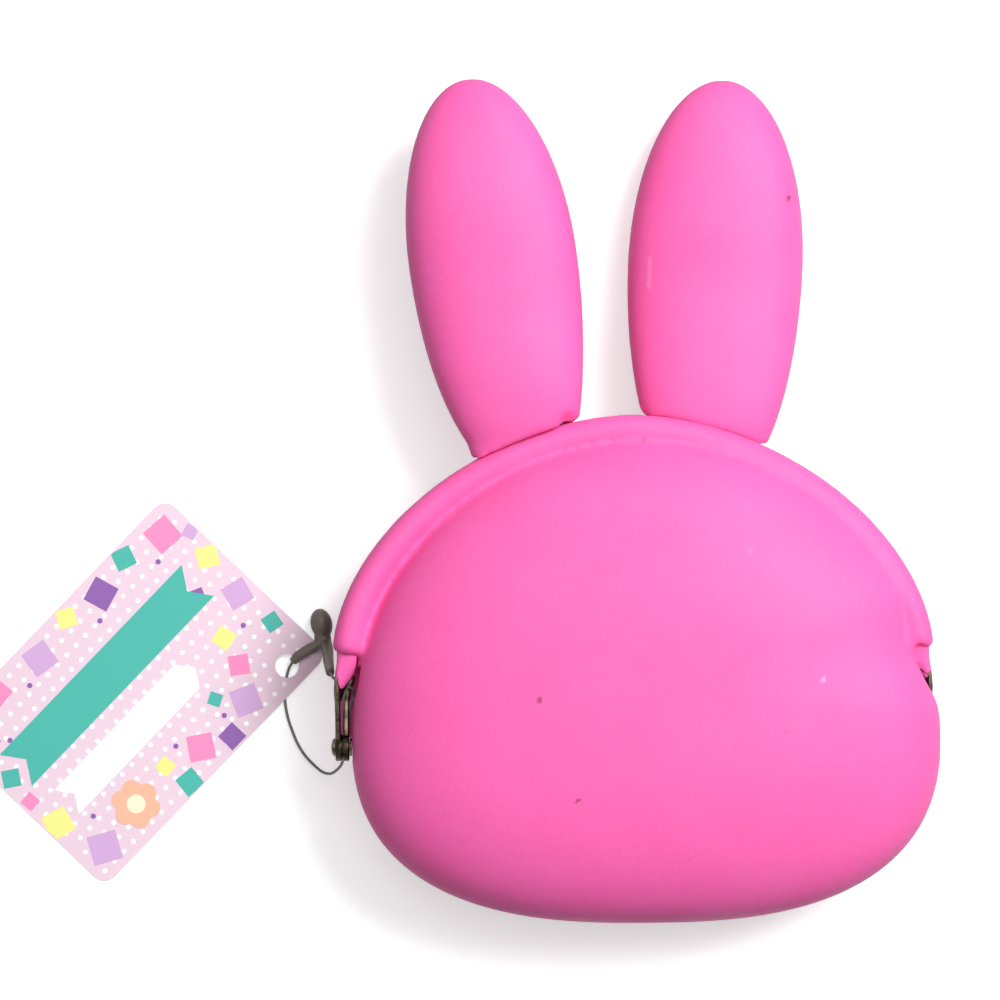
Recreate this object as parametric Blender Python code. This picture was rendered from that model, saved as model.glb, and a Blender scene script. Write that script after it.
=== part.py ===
"""Silicone coin purse with a hidden steel frame, lying on its back.

X runs across the purse, Y runs from its bottom to its ears, and Z rises from the
surface that it lies on. All lengths are in metres.
"""

import math

import bmesh
import bpy
from mathutils import Matrix, Vector

# Body: two domed walls that meet in a round bottom.
BODY_DEPTH = 0.032
BODY_HALF_WIDTH = 0.0493
BODY_BOTTOM = 0.0323
BODY_TOP = 0.0485
WALL = 0.002
REST_FLAT = 0.0004
MIDDLE_Z = BODY_DEPTH / 2
WIDEST_Y = 0.003
DOME_CENTRE_Y = 0.008
# The soft walls lean a little to the right on their stiff frame.
DOME_SHIFT = 0.0021
# The wall is drawn in under the right end of the bead.
PINCH_DEPTH = 0.0027
PINCH_Y = 0.0165
PINCH_REACH = 0.0115
BOTTOM_SQUARENESS_SHARE = 2.6
TOP_SQUARENESS_SHARE = 2.0
DOME_FULLNESS_SHARE = 2.5
OUTLINE_STEPS = 44
DOME_STEPS = 7

# Mouth: a rolled bead on each wall, and the slit between the two.
RIM_PROUD = 0.0009
RIM_RISE = 0.0036
RIM_HALF_WIDTH = BODY_HALF_WIDTH + RIM_PROUD
RIM_TOP_Y = WIDEST_Y + BODY_TOP + RIM_RISE
RIM_FOOT_Y = 0.015
RIM_SQUARENESS_SHARE = 1.8
BEAD_ACROSS = 0.0052
BEAD_DEEP = 0.0055
MOUTH_GAP = 0.0004
WALL_GAP = 0.0003
RIM_STEPS = 28
BEAD_SIDES = 12
BEAD_END_STEPS = 3
BEAD_END_REACH = 0.0012
NUDGE_SHARE = 0.25
BEAD_Z = MOUTH_GAP / 2 + BEAD_DEEP / 2
WEB_REACH = 0.0045
WEB_THICK = 0.0022

# Frame: a stamped strip in each bead, with a leg down to the hinge at each end.
STRIP_WIDE = 0.003
STRIP_THICK = 0.0009
STRIP_EDGE = 0.0002
STRIP_FIT = 0.0003
LEG_CLEARANCE = 0.00085
LEG_STEPS = 8
SWING_REACH = 0.0095
LEG_TWIST_SHARE = 0.55
LEG_SPREAD_SHARE = 0.5

# Hinge: two eyes, a washer between them and a rivet through all three.
EYE_RADIUS = 0.0022
RIVET_RADIUS = 0.0008
RIVET_FIT = 0.0001
STACK_GAP = 0.0001
WASHER_THICK = 0.00025
WASHER_RADIUS = 0.0019
HEAD_RADIUS = 0.0015
INNER_HEAD = 0.0004
OUTER_HEAD = 0.0007
HEAD_EDGE_SHARE = 0.35
HEAD_CROWN_SHARES = (0.75, 0.67)
HINGE_SET_IN = 0.0033
HINGE_INNER_X = RIM_HALF_WIDTH - HINGE_SET_IN
HINGE_ROOM = 0.0004
ROUND_STEPS = 16
INNER_EYE_X = HINGE_INNER_X + INNER_HEAD + STACK_GAP + STRIP_THICK / 2
WASHER_X = INNER_EYE_X + STRIP_THICK / 2 + STACK_GAP + WASHER_THICK / 2
OUTER_EYE_X = WASHER_X + WASHER_THICK / 2 + STACK_GAP + STRIP_THICK / 2
OUTER_HEAD_X = OUTER_EYE_X + STRIP_THICK / 2 + STACK_GAP

# Ears: soft sleeves pushed over hard cores, one on each half.
EAR_LENGTH = 0.0608
EAR_TIP_SHARE = 0.5
EAR_TIP = EAR_LENGTH * EAR_TIP_SHARE
EAR_BELLY = EAR_LENGTH - EAR_TIP
EAR_HALF_WIDE = 0.0141
EAR_HALF_THICK = 0.0075
TAPER_WIDE_SHARE = 1.33
TAPER_THICK_SHARE = 1.15
EAR_WALL = 0.0018
EAR_HOLLOW_SHARE = 0.76
EAR_HOLLOW = EAR_LENGTH * EAR_HOLLOW_SHARE
EAR_SPACING = 0.0316
EAR_SHIFT = -0.0029
EAR_SEAT_DROP = 0.004
EAR_BASE_Y = RIM_TOP_Y - EAR_SEAT_DROP
EAR_SEAT_GAP = 0.0003
EAR_OVERRUN = 0.006
BACK_EAR_DROP = 0.0014
FRONT_EAR_LEAN = math.radians(7.7)
BACK_EAR_LEAN = math.radians(-3.2)
FRONT_EAR_SAG = 0.0025
EAR_SIDES = 20
EAR_STEPS = 6
EAR_ROUNDNESS_SHARE = 2.2
NOTCH_WIDE = 0.0042
NOTCH_HIGH = 0.0019
NOTCH_OUT_SHARE = 0.68

# Cores and clasps: what holds an ear on its half of the frame.
CORE_LENGTH = 0.026
CORE_FIT = 0.0003
CORE_ROUND = 0.006
CORE_ROUND_STEPS = 4
HOLLOW_STEPS = 3
CORE_SEAT_GAP = 0.0006
STEM_RADIUS = 0.0011
STEM_FIT = 0.00025
STEM_REACH = 0.0125
CLASP_BALL = 0.0021
BALL_STEPS = 7
FOOT_LONG = 0.0046
FOOT_THICK = 0.0008
FOOT_GAP = 0.0001

# Tag, its loop and the loop's lock.
TAG_WIDE = 0.0383
TAG_LONG = 0.0545
TAG_THICK = 0.0004
TAG_CORNER = 0.0025
TAG_HOLE_RADIUS = 0.002
TAG_HOLE_TO_END = 0.0063
TAG_HOLE_TO_SIDE = 0.0037
TAG_CENTRE = Vector((-0.0838, 0.0091))
TAG_TURN = math.radians(45.7)
TAG_FAR_LIFT = 0.0001
TAG_NEAR_LIFT = 0.001
CORNER_STEPS = 5
LOOP_THICK = 0.0005
LOCK_RADIUS = 0.00185
LOCK_LONG = 0.0052
LOCK_PLACE = Vector((-0.0522, 0.0204, 0.002))
LOCK_TURN = math.radians(102)
LOCK_STEPS = 10

# Route of the loop: lock, round the back half's left leg, under the tag, up through its hole, lock.
LOOP_ROUTE = (
    (-0.0515, 0.0172, 0.0023),
    (-0.0511, 0.0158, 0.0050),
    (-0.0509, 0.0142, 0.0095),
    (-0.0505, 0.0124, 0.0140),
    (-0.0494, 0.0111, 0.0159),
    (-0.0478, 0.0103, 0.0161),
    (-0.0466, 0.0095, 0.0154),
    (-0.0465, 0.0087, 0.0138),
    (-0.0468, 0.0076, 0.0123),
    (-0.0472, 0.0060, 0.0112),
    (-0.0476, 0.0036, 0.0104),
    (-0.0479, 0.0008, 0.0096),
    (-0.0484, -0.0018, 0.0082),
    (-0.0496, -0.0040, 0.0059),
    (-0.0515, -0.0048, 0.0036),
    (-0.0539, -0.0032, 0.0017),
    (-0.0560, -0.0006, 0.0008),
    (-0.0573, 0.0023, 0.0004),
    (-0.0582, 0.0053, 0.0004),
    (-0.0585, 0.0083, 0.0004),
    (-0.0583, 0.0104, 0.0004),
    (-0.0579, 0.0125, 0.0009),
    (-0.0571, 0.0140, 0.0016),
    (-0.0562, 0.0150, 0.0020),
    (-0.0550, 0.0157, 0.0022),
    (-0.0537, 0.0164, 0.0022),
    (-0.0525, 0.0171, 0.0022),
)
LOOP_SAMPLES = 2
LOOP_BEVEL_STEPS = 2

# One length that every cutter runs past what it cuts.
OVERRUN = 0.005
# Edges shorter than this are left over from a cut and are closed up.
SLIVER = 0.000002
# Faces that meet at more than this are drawn with a hard edge.
SHARP_ANGLE = math.radians(40)

# Colours, as linear red, green and blue.
PINK = (1.0, 0.21, 0.57)
STEEL = (0.72, 0.72, 0.74)
WHITE_PLASTIC = (0.8, 0.8, 0.8)
CARD_PINK = (0.95, 0.78, 0.86)
NYLON_GREY = (0.3, 0.31, 0.31)
LOCK_BROWN = (0.2, 0.17, 0.15)


def clear_scene():
    """Remove whatever the scene holds."""
    for old in list(bpy.data.objects):
        bpy.data.objects.remove(old, do_unlink=True)


def signed_power(value, power):
    """Raise a sine or cosine to a power and keep its sign."""
    return math.copysign(abs(value) ** power, value)


def material(name, colour, roughness, metallic=0.0):
    """A plain shader for one sub-part."""
    made = bpy.data.materials.new(name)
    made.use_nodes = True
    shader = made.node_tree.nodes["Principled BSDF"]
    shader.inputs["Base Color"].default_value = (*colour, 1.0)
    shader.inputs["Roughness"].default_value = roughness
    shader.inputs["Metallic"].default_value = metallic
    return made


def finish(name, bm, surface=None, smooth=True):
    """Turn a bmesh into a named object."""
    bmesh.ops.recalc_face_normals(bm, faces=bm.faces)
    mesh = bpy.data.meshes.new(name)
    bm.to_mesh(mesh)
    bm.free()
    if smooth:
        mesh.shade_smooth()
        mesh.set_sharp_from_angle(angle=SHARP_ANGLE)
    made = bpy.data.objects.new(name, mesh)
    bpy.context.scene.collection.objects.link(made)
    if surface:
        mesh.materials.append(surface)
    return made


def loft(rings, first_pole=None, last_pole=None):
    """Bridge rings of points into one closed skin, with a pole or a flat cap at each end."""
    bm = bmesh.new()
    loops = [[bm.verts.new(point) for point in ring] for ring in rings]
    for low, high in zip(loops, loops[1:]):
        for step, vert in enumerate(low):
            after = (step + 1) % len(low)
            bm.faces.new((vert, low[after], high[after], high[step]))
    for loop, pole in ((loops[0], first_pole), (loops[-1], last_pole)):
        if pole is None:
            bm.faces.new(loop)
            continue
        tip = bm.verts.new(pole)
        for step, vert in enumerate(loop):
            bm.faces.new((vert, loop[(step + 1) % len(loop)], tip))
    return bm


def boolean(target, tool, operation):
    """Combine the target with a tool and delete the tool."""
    change = target.modifiers.new(operation.lower(), "BOOLEAN")
    change.operation = operation
    change.solver = "EXACT"
    change.object = tool
    bpy.context.view_layer.objects.active = target
    bpy.ops.object.modifier_apply(modifier=change.name)
    bpy.data.objects.remove(tool, do_unlink=True)
    bm = bmesh.new()
    bm.from_mesh(target.data)
    bmesh.ops.dissolve_degenerate(bm, dist=SLIVER, edges=bm.edges)
    bm.to_mesh(target.data)
    bm.free()


def join(target, tool):
    """Fuse a piece into the target."""
    boolean(target, tool, "UNION")


def cut(target, tool):
    """Take the tool's space out of the target."""
    boolean(target, tool, "DIFFERENCE")


def box(low, high):
    """A block between two corners."""
    bm = bmesh.new()
    size = Vector(high) - Vector(low)
    centre = (Vector(high) + Vector(low)) / 2
    place = Matrix.Translation(centre) @ Matrix.Diagonal((*size, 1.0))
    bmesh.ops.create_cube(bm, size=1.0, matrix=place)
    return finish("block", bm, smooth=False)


def circle(centre, across, up, radius, count=ROUND_STEPS):
    """Points round a centre, in the plane of two directions."""
    turns = [2 * math.pi * step / count for step in range(count)]
    return [centre + (across * math.cos(turn) + up * math.sin(turn)) * radius for turn in turns]


def rod(start, end, radius, count=ROUND_STEPS):
    """A round bar between two points."""
    along = (end - start).normalized()
    across = along.orthogonal().normalized()
    up = along.cross(across)
    return loft([circle(point, across, up, radius, count) for point in (start, end)])


def turned(profile, origin, along):
    """A turned piece from a profile of (distance along, radius) pairs; a zero radius is a pole."""
    across = along.orthogonal().normalized()
    up = along.cross(across)
    rings = [
        circle(origin + along * reach, across, up, radius)
        for reach, radius in profile
        if radius > 0
    ]
    poles = [origin + along * profile[end][0] if not profile[end][1] else None for end in (0, -1)]
    return loft(rings, *poles)


def dome(inset):
    """The pillow that both walls make, or the space inside them when it is inset by the wall."""
    rings = []
    for layer in range(-DOME_STEPS, DOME_STEPS + 1):
        rise = math.pi / 2 * layer / (DOME_STEPS + 1)
        share = math.cos(rise) ** (2 / DOME_FULLNESS_SHARE)
        flat = REST_FLAT if layer < 0 else 0
        lift = signed_power(math.sin(rise), 2 / DOME_FULLNESS_SHARE) * (MIDDLE_Z + flat - inset)
        rings.append([dome_point(step, inset, share, lift) for step in range(OUTLINE_STEPS)])
    tips = [Vector((DOME_SHIFT, DOME_CENTRE_Y, z)) for z in (inset - REST_FLAT, BODY_DEPTH - inset)]
    return finish("dome", loft(rings, *tips))


def pinch(x, y):
    """How far the wall is drawn in beside the right end of the bead."""
    if x <= 0:
        return 0
    near = max(1 - ((y - PINCH_Y) / PINCH_REACH) ** 2, 0)
    return PINCH_DEPTH * near * near


def dome_point(step, inset, share, lift):
    """One point of the dome: a step round its outline, drawn in by a share and lifted."""
    turn = 2 * math.pi * step / OUTLINE_STEPS
    top = math.sin(turn) >= 0
    power = 2 / (TOP_SQUARENESS_SHARE if top else BOTTOM_SQUARENESS_SHARE)
    reach = (BODY_TOP if top else BODY_BOTTOM) - inset
    x = signed_power(math.cos(turn), power) * (BODY_HALF_WIDTH - inset)
    y = WIDEST_Y + signed_power(math.sin(turn), power) * reach
    x -= pinch(x, y)
    y = DOME_CENTRE_Y + (y - DOME_CENTRE_Y) * share
    return Vector((DOME_SHIFT + x * share, y, MIDDLE_Z + lift))


def rim_point(turn, inset):
    """A point of the rim's arch, inset from its outer edge; turn runs from 0 right to pi left."""
    power = 2 / RIM_SQUARENESS_SHARE
    x = signed_power(math.cos(turn), power) * (RIM_HALF_WIDTH - inset)
    y = RIM_FOOT_Y + signed_power(math.sin(turn), power) * (RIM_TOP_Y - RIM_FOOT_Y - inset)
    return Vector((x, y, 0))


def rim_frame(turn, z):
    """The bead's centre at a turn, with the directions along and out of the arch."""
    nudge = math.pi / RIM_STEPS * NUDGE_SHARE
    before = max(turn - nudge, 0)
    after = min(turn + nudge, math.pi)
    along = (rim_point(after, BEAD_ACROSS / 2) - rim_point(before, BEAD_ACROSS / 2)).normalized()
    centre = rim_point(turn, BEAD_ACROSS / 2) + Vector((0, 0, z))
    return centre, along, along.cross(Vector((0, 0, 1)))


def rim_turn_at(x):
    """The turn at which the bead's centre line passes over a given x."""
    share = x / (RIM_HALF_WIDTH - BEAD_ACROSS / 2)
    return math.acos(signed_power(share, RIM_SQUARENESS_SHARE / 2))


def bead(side):
    """The rolled bead of one half, bluntly rounded at both ends."""
    z = MIDDLE_Z + side * BEAD_Z
    bends = [math.pi / 2 * step / (BEAD_END_STEPS + 1) for step in range(1, BEAD_END_STEPS + 1)]
    stations = [(0, -math.sin(bend), math.cos(bend)) for bend in reversed(bends)]
    stations += [(math.pi * step / RIM_STEPS, 0, 1) for step in range(RIM_STEPS + 1)]
    stations += [(math.pi, math.sin(bend), math.cos(bend)) for bend in bends]
    angles = [2 * math.pi * step / BEAD_SIDES for step in range(BEAD_SIDES)]
    rings = []
    for turn, past, share in stations:
        centre, along, out = rim_frame(turn, z)
        centre += along * past * BEAD_END_REACH
        across = out * BEAD_ACROSS / 2 * share
        deep = Vector((0, 0, BEAD_DEEP / 2 * share))
        rings.append([centre + across * math.cos(angle) + deep * math.sin(angle) for angle in angles])
    return finish("bead", loft(rings))


def strip_stations(side, eye_x):
    """Places along a frame half: (centre, direction of its width, direction of its thickness)."""
    z = MIDDLE_Z + side * BEAD_Z
    up = Vector((0, 0, 1))
    arch = []
    for step in range(RIM_STEPS + 1):
        centre, _, out = rim_frame(math.pi * step / RIM_STEPS, z)
        arch.append((centre, out, up))
    legs = {}
    for hand in (1, -1):
        shares = [step / LEG_STEPS for step in range(1, LEG_STEPS + 1)]
        legs[hand] = [leg_station(side, hand, eye_x, share) for share in shares]
    return legs[1][::-1] + arch + legs[-1]


def leg_station(side, hand, eye_x, share):
    """A place at a share of a leg, which turns edge-on and spreads to its eye on the way down."""
    twist = math.pi / 2 * ease(share / LEG_TWIST_SHARE)
    spread = ease(share / LEG_SPREAD_SHARE)
    bead_x = RIM_HALF_WIDTH - BEAD_ACROSS / 2
    x = hand * (bead_x + (eye_x - bead_x) * spread)
    y = RIM_FOOT_Y * (1 - share)
    z = MIDDLE_Z + side * BEAD_Z * (1 - share)
    wide = Vector((hand * math.cos(twist), 0, side * math.sin(twist)))
    thick = Vector((-hand * math.sin(twist), 0, side * math.cos(twist)))
    if side < 0:
        thick = -thick
    return Vector((x, y, z)), wide, thick


def ease(share):
    """Go from 0 to 1 without a corner at either end."""
    share = min(max(share, 0), 1)
    return share * share * (3 - 2 * share)


def strip(side, eye_x, fit=0, leg_fit=0):
    """A frame half's strip, or its room in the silicone when a fit is given."""
    stations = strip_stations(side, eye_x)
    rings = []
    for step, (centre, wide, thick) in enumerate(stations):
        on_leg = step < LEG_STEPS or step >= len(stations) - LEG_STEPS
        room = leg_fit if on_leg else fit
        half_wide = STRIP_WIDE / 2 + room
        half_thick = STRIP_THICK / 2 + room
        corners = []
        for u, v in ((1, 1), (-1, 1), (-1, -1), (1, -1)):
            wide_edge = (half_wide - STRIP_EDGE, half_thick)
            thick_edge = (half_wide, half_thick - STRIP_EDGE)
            pair = (thick_edge, wide_edge) if u == v else (wide_edge, thick_edge)
            corners += [centre + wide * a * u + thick * b * v for a, b in pair]
        rings.append(corners)
    return finish("strip", loft(rings))


def frame_half(name, side, eye_x, surface):
    """One half of the frame: the arch, its two legs and their eyes."""
    half = strip(side, eye_x)
    for hand in (1, -1):
        middle = Vector((hand * eye_x, 0, MIDDLE_Z))
        reach = Vector((STRIP_THICK / 2, 0, 0))
        join(half, finish("eye", rod(middle - reach, middle + reach, EYE_RADIUS)))
    for hand in (1, -1):
        middle = Vector((hand * eye_x, 0, MIDDLE_Z))
        reach = Vector((STRIP_THICK, 0, 0))
        cut(half, finish("hole", rod(middle - reach, middle + reach, RIVET_RADIUS + RIVET_FIT)))
    half.name = name
    half.data.materials.clear()
    half.data.materials.append(surface)
    return half


def hinge_rivet(name, hand, surface):
    """The rivet through both eyes, with a flat head inside and a domed one outside."""
    shank_end = OUTER_HEAD_X - HINGE_INNER_X
    crown_rise, crown_width = HEAD_CROWN_SHARES
    profile = [
        (0, 0),
        (0, HEAD_RADIUS),
        (INNER_HEAD, HEAD_RADIUS),
        (INNER_HEAD, RIVET_RADIUS),
        (shank_end, RIVET_RADIUS),
        (shank_end, HEAD_RADIUS),
        (shank_end + OUTER_HEAD * HEAD_EDGE_SHARE, HEAD_RADIUS),
        (shank_end + OUTER_HEAD * crown_rise, HEAD_RADIUS * crown_width),
        (shank_end + OUTER_HEAD, 0),
    ]
    rivet = finish(name, turned(profile, Vector(), Vector((1, 0, 0))), surface)
    rivet.location = (hand * HINGE_INNER_X, 0, MIDDLE_Z)
    rivet.rotation_euler.z = 0 if hand > 0 else math.pi
    return rivet


def hinge_washer(name, hand, surface):
    """The thin washer that keeps the two eyes apart."""
    half = Vector((WASHER_THICK / 2, 0, 0))
    washer = finish(name, rod(-half, half, WASHER_RADIUS), surface)
    reach = Vector((OVERRUN, 0, 0))
    cut(washer, finish("hole", rod(-reach, reach, RIVET_RADIUS + RIVET_FIT)))
    washer.location = (hand * WASHER_X, 0, MIDDLE_Z)
    return washer


def ear_place(side):
    """An ear's base, with the directions across it and along it."""
    lean = FRONT_EAR_LEAN if side > 0 else BACK_EAR_LEAN
    base_x = EAR_SHIFT - side * EAR_SPACING / 2
    base_y = EAR_BASE_Y - (BACK_EAR_DROP if side < 0 else 0)
    turn = Matrix.Rotation(lean, 3, "Z")
    return Vector((base_x, base_y, MIDDLE_Z)), turn @ Vector((1, 0, 0)), turn @ Vector((0, 1, 0))


def ear_lift(side, up):
    """How far an ear's middle lies above the purse's middle plane at a height along it."""
    back_sag = MIDDLE_Z - EAR_HALF_THICK - BEAD_Z
    sag = FRONT_EAR_SAG if side > 0 else back_sag
    return side * BEAD_Z - sag * ease(up / EAR_BELLY)


def ear_section(side, up, inset):
    """The ring of points round an ear at a height along it."""
    base, across, along = ear_place(side)
    past_belly = max(up, 0) - EAR_BELLY
    if past_belly > 0:
        round_share = math.sqrt(max(1 - (past_belly / (EAR_TIP - inset)) ** 2, 0))
        half_wide = (EAR_HALF_WIDE - inset) * round_share
        half_thick = (EAR_HALF_THICK - inset) * round_share
    else:
        below = past_belly / EAR_BELLY
        half_wide = EAR_HALF_WIDE * math.sqrt(1 - (below / TAPER_WIDE_SHARE) ** 2) - inset
        half_thick = EAR_HALF_THICK * math.sqrt(1 - (below / TAPER_THICK_SHARE) ** 2) - inset
    centre = base + along * up + Vector((0, 0, ear_lift(side, max(up, 0))))
    power = 2 / EAR_ROUNDNESS_SHARE
    ring = []
    for step in range(EAR_SIDES):
        turn = 2 * math.pi * step / EAR_SIDES
        x = signed_power(math.cos(turn), power) * half_wide
        z = signed_power(math.sin(turn), power) * half_thick
        ring.append(centre + across * x + Vector((0, 0, z)))
    return ring


def ear_outer(side):
    """The outside of an ear, closed at its tip and left long at its base."""
    ups = [-EAR_OVERRUN] + [EAR_BELLY * step / EAR_STEPS for step in range(EAR_STEPS)]
    ups += [EAR_BELLY + EAR_TIP * math.sin(math.pi / 2 * step / EAR_STEPS) for step in range(EAR_STEPS)]
    base, _, along = ear_place(side)
    pole = base + along * EAR_LENGTH + Vector((0, 0, ear_lift(side, EAR_LENGTH)))
    return finish("ear", loft([ear_section(side, up, 0) for up in ups], None, pole))


def ear_inside(side, inset, top):
    """The space in an ear up to a height, with a blunt rounded top."""
    _, _, along = ear_place(side)
    shared = CORE_LENGTH - CORE_ROUND
    ups = [-EAR_OVERRUN] + [shared * step / EAR_STEPS for step in range(EAR_STEPS + 1)]
    if top > CORE_LENGTH:
        further = (top - CORE_LENGTH) / HOLLOW_STEPS
        ups += [shared + further * (step + 1) for step in range(HOLLOW_STEPS)]
    rings = [ear_section(side, up, inset) for up in ups]
    shoulder = rings[-1]
    middle = sum(shoulder, Vector()) / EAR_SIDES
    for step in range(1, CORE_ROUND_STEPS):
        bend = math.pi / 2 * step / CORE_ROUND_STEPS
        rise = along * CORE_ROUND * math.sin(bend)
        rings.append([middle + (point - middle) * math.cos(bend) + rise for point in shoulder])
    return finish("inside", loft(rings, None, middle + along * CORE_ROUND))


def rim_plug(gap):
    """Everything below the rim's crown line, for seating the ears on it."""
    outline = [rim_point(math.pi * step / RIM_STEPS, -gap) for step in range(RIM_STEPS + 1)]
    outline += [Vector((-RIM_HALF_WIDTH - gap, 0, 0)), Vector((RIM_HALF_WIDTH + gap, 0, 0))]
    rings = [[point + Vector((0, 0, z)) for point in outline] for z in (-OVERRUN, BODY_DEPTH + OVERRUN)]
    return finish("plug", loft(rings), smooth=False)


def clasp_points(side):
    """Where a clasp's stem starts above the strip, where its ball sits, and its foot's frame."""
    base, _, along_ear = ear_place(side)
    centre, along, out = rim_frame(rim_turn_at(base.x), MIDDLE_Z + side * BEAD_Z)
    start = centre + out * (STRIP_WIDE / 2 + FOOT_GAP + STRIP_EDGE)
    ball = base + along_ear * STEM_REACH + Vector((0, 0, ear_lift(side, STEM_REACH)))
    return start, ball, centre, along, out


def clasp_body(side, grow):
    """A clasp: a foot against the strip, a stem through the bead and a ball in the core."""
    start, ball, centre, along, out = clasp_points(side)
    up = Vector((0, 0, side))
    toward = (ball - start).normalized()
    stem = STEM_RADIUS + grow
    round_ball = CLASP_BALL + grow
    length = (ball - start).length
    neck = math.asin(stem / round_ball)
    turns = [neck + (math.pi - neck) * step / BALL_STEPS for step in range(BALL_STEPS)]
    profile = [(-grow, 0), (-grow, stem)]
    profile += [(length - math.cos(turn) * round_ball, math.sin(turn) * round_ball) for turn in turns]
    profile += [(length + round_ball, 0)]
    body = finish("stem", turned(profile, start, toward))
    near = STRIP_THICK / 2 + FOOT_GAP - grow
    far = STRIP_THICK / 2 + FOOT_GAP + FOOT_THICK + grow
    half = FOOT_LONG / 2 + grow
    low = -STRIP_WIDE / 2 - grow
    high = STRIP_WIDE / 2 + STEM_RADIUS + grow
    corners = ((-half, low), (half, low), (half, high), (-half, high))
    rings = [[centre + up * z + along * a + out * b for a, b in corners] for z in (near, far)]
    join(body, finish("foot", loft(rings), smooth=False))
    return body


def rim_web(side):
    """The root that carries the bead where the wall lies further in."""
    rings = []
    for step in range(RIM_STEPS + 1):
        turn = math.pi * step / RIM_STEPS
        outer = rim_point(turn, BEAD_ACROSS / 2)
        inner = rim_point(turn, BEAD_ACROSS / 2 + WEB_REACH)
        low = Vector((0, 0, MIDDLE_Z - side * WEB_THICK))
        high = Vector((0, 0, MIDDLE_Z + side * WEB_THICK))
        rings.append([outer + low, inner + low, inner + high, outer + high])
    return finish("web", loft(rings), smooth=False)


def hinge_backing(hand):
    """The block of silicone that backs the space beside a hinge."""
    near = hand * (HINGE_INNER_X - HINGE_ROOM - WALL)
    far = hand * (BODY_HALF_WIDTH + DOME_SHIFT + OVERRUN)
    deep = BEAD_Z + STRIP_WIDE / 2
    low_x, high_x = sorted((near, far))
    bottom = -(EYE_RADIUS + HINGE_ROOM + WALL)
    return box((low_x, bottom, MIDDLE_Z - deep), (high_x, RIM_FOOT_Y, MIDDLE_Z + deep))


def side_recess(hand):
    """The space beside a hinge for both pairs of legs and the eyes, open to the outside."""
    inner = Vector((hand * (HINGE_INNER_X - HINGE_ROOM), 0, MIDDLE_Z))
    outer = Vector((hand * (BODY_HALF_WIDTH + DOME_SHIFT + OVERRUN), 0, MIDDLE_Z))
    space = finish("eye_space", rod(inner, outer, EYE_RADIUS + HINGE_ROOM))
    top_share = (BEAD_END_REACH + STRIP_FIT) / RIM_FOOT_Y
    rings = []
    for step in range(LEG_STEPS + 1):
        share = top_share + (1 - top_share) * step / LEG_STEPS
        centre, wide, thick = leg_station(1, hand, INNER_EYE_X, share)
        in_x = abs(wide.x) * STRIP_WIDE / 2 + abs(thick.x) * STRIP_THICK / 2 + LEG_CLEARANCE
        up_z = abs(wide.z) * STRIP_WIDE / 2 + abs(thick.z) * STRIP_THICK / 2 + LEG_CLEARANCE
        near = Vector((centre.x - hand * in_x, centre.y, MIDDLE_Z))
        far = Vector((outer.x, centre.y, MIDDLE_Z))
        rise = Vector((0, 0, centre.z - MIDDLE_Z + up_z))
        rings.append([near - rise, far - rise, far + rise, near + rise])
    join(space, finish("leg_space", loft(rings), smooth=False))
    return space


def swing_slot(hand):
    """Room in the back half for the front legs when the mouth is wide open."""
    near = hand * (OUTER_EYE_X - STRIP_THICK / 2 - LEG_CLEARANCE)
    far = hand * (BODY_HALF_WIDTH + DOME_SHIFT + OVERRUN)
    low_x, high_x = sorted((near, far))
    low = Vector((low_x, -STRIP_WIDE / 2 - LEG_CLEARANCE / 2, MIDDLE_Z))
    high = Vector((high_x, RIM_FOOT_Y, MIDDLE_Z + SWING_REACH))
    return box(low, high)


def silicone_half(side):
    """One half of the silicone walls, thick round the hinges, before its bead goes on."""
    room = dome(WALL)
    for hand in (1, -1):
        cut(room, hinge_backing(hand))
    shell = dome(0)
    join(shell, rim_web(side))
    cut(shell, room)
    fold = WALL_GAP / 2
    reach = BODY_HALF_WIDTH + DOME_SHIFT + OVERRUN
    top = RIM_TOP_Y + OVERRUN
    middle = MIDDLE_Z + side * WALL_GAP / 2
    if side > 0:
        cut(shell, box((-reach, -top, -OVERRUN), (reach, top, middle)))
        cut(shell, box((-reach, -top, -OVERRUN), (reach, fold, BODY_DEPTH + OVERRUN)))
    else:
        cut(shell, box((-reach, -fold, middle), (reach, top, BODY_DEPTH + OVERRUN)))
        cut(shell, box((-reach, -top, -OVERRUN), (reach, top, 0)))
    return shell


def silicone(name, side, eye_x, surface):
    """A finished half of the silicone."""
    shell = silicone_half(side)
    join(shell, bead(side))
    for hand in (1, -1):
        cut(shell, side_recess(hand))
        if side < 0:
            cut(shell, swing_slot(hand))
    cut(shell, clasp_body(side, STEM_FIT))
    cut(shell, strip(side, eye_x, STRIP_FIT, LEG_CLEARANCE))
    shell.name = name
    shell.data.materials.clear()
    shell.data.materials.append(surface)
    return shell


def ear(side, sleeve_name, core_name, clasp_name, surfaces):
    """One ear: the sleeve, the core inside it and the clasp that carries both."""
    sleeve = ear_outer(side)
    cut(sleeve, ear_inside(side, EAR_WALL, EAR_HOLLOW))
    cut(sleeve, rim_plug(EAR_SEAT_GAP))
    core = ear_inside(side, EAR_WALL + CORE_FIT, CORE_LENGTH)
    cut(core, rim_plug(CORE_SEAT_GAP))
    cut(core, clasp_body(side, STEM_FIT))
    clasp = clasp_body(side, 0)
    pieces = ((sleeve, sleeve_name), (core, core_name), (clasp, clasp_name))
    for (piece, name), surface in zip(pieces, surfaces):
        piece.name = name
        piece.data.materials.clear()
        piece.data.materials.append(surface)
    return [piece for piece, _ in pieces]


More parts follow.
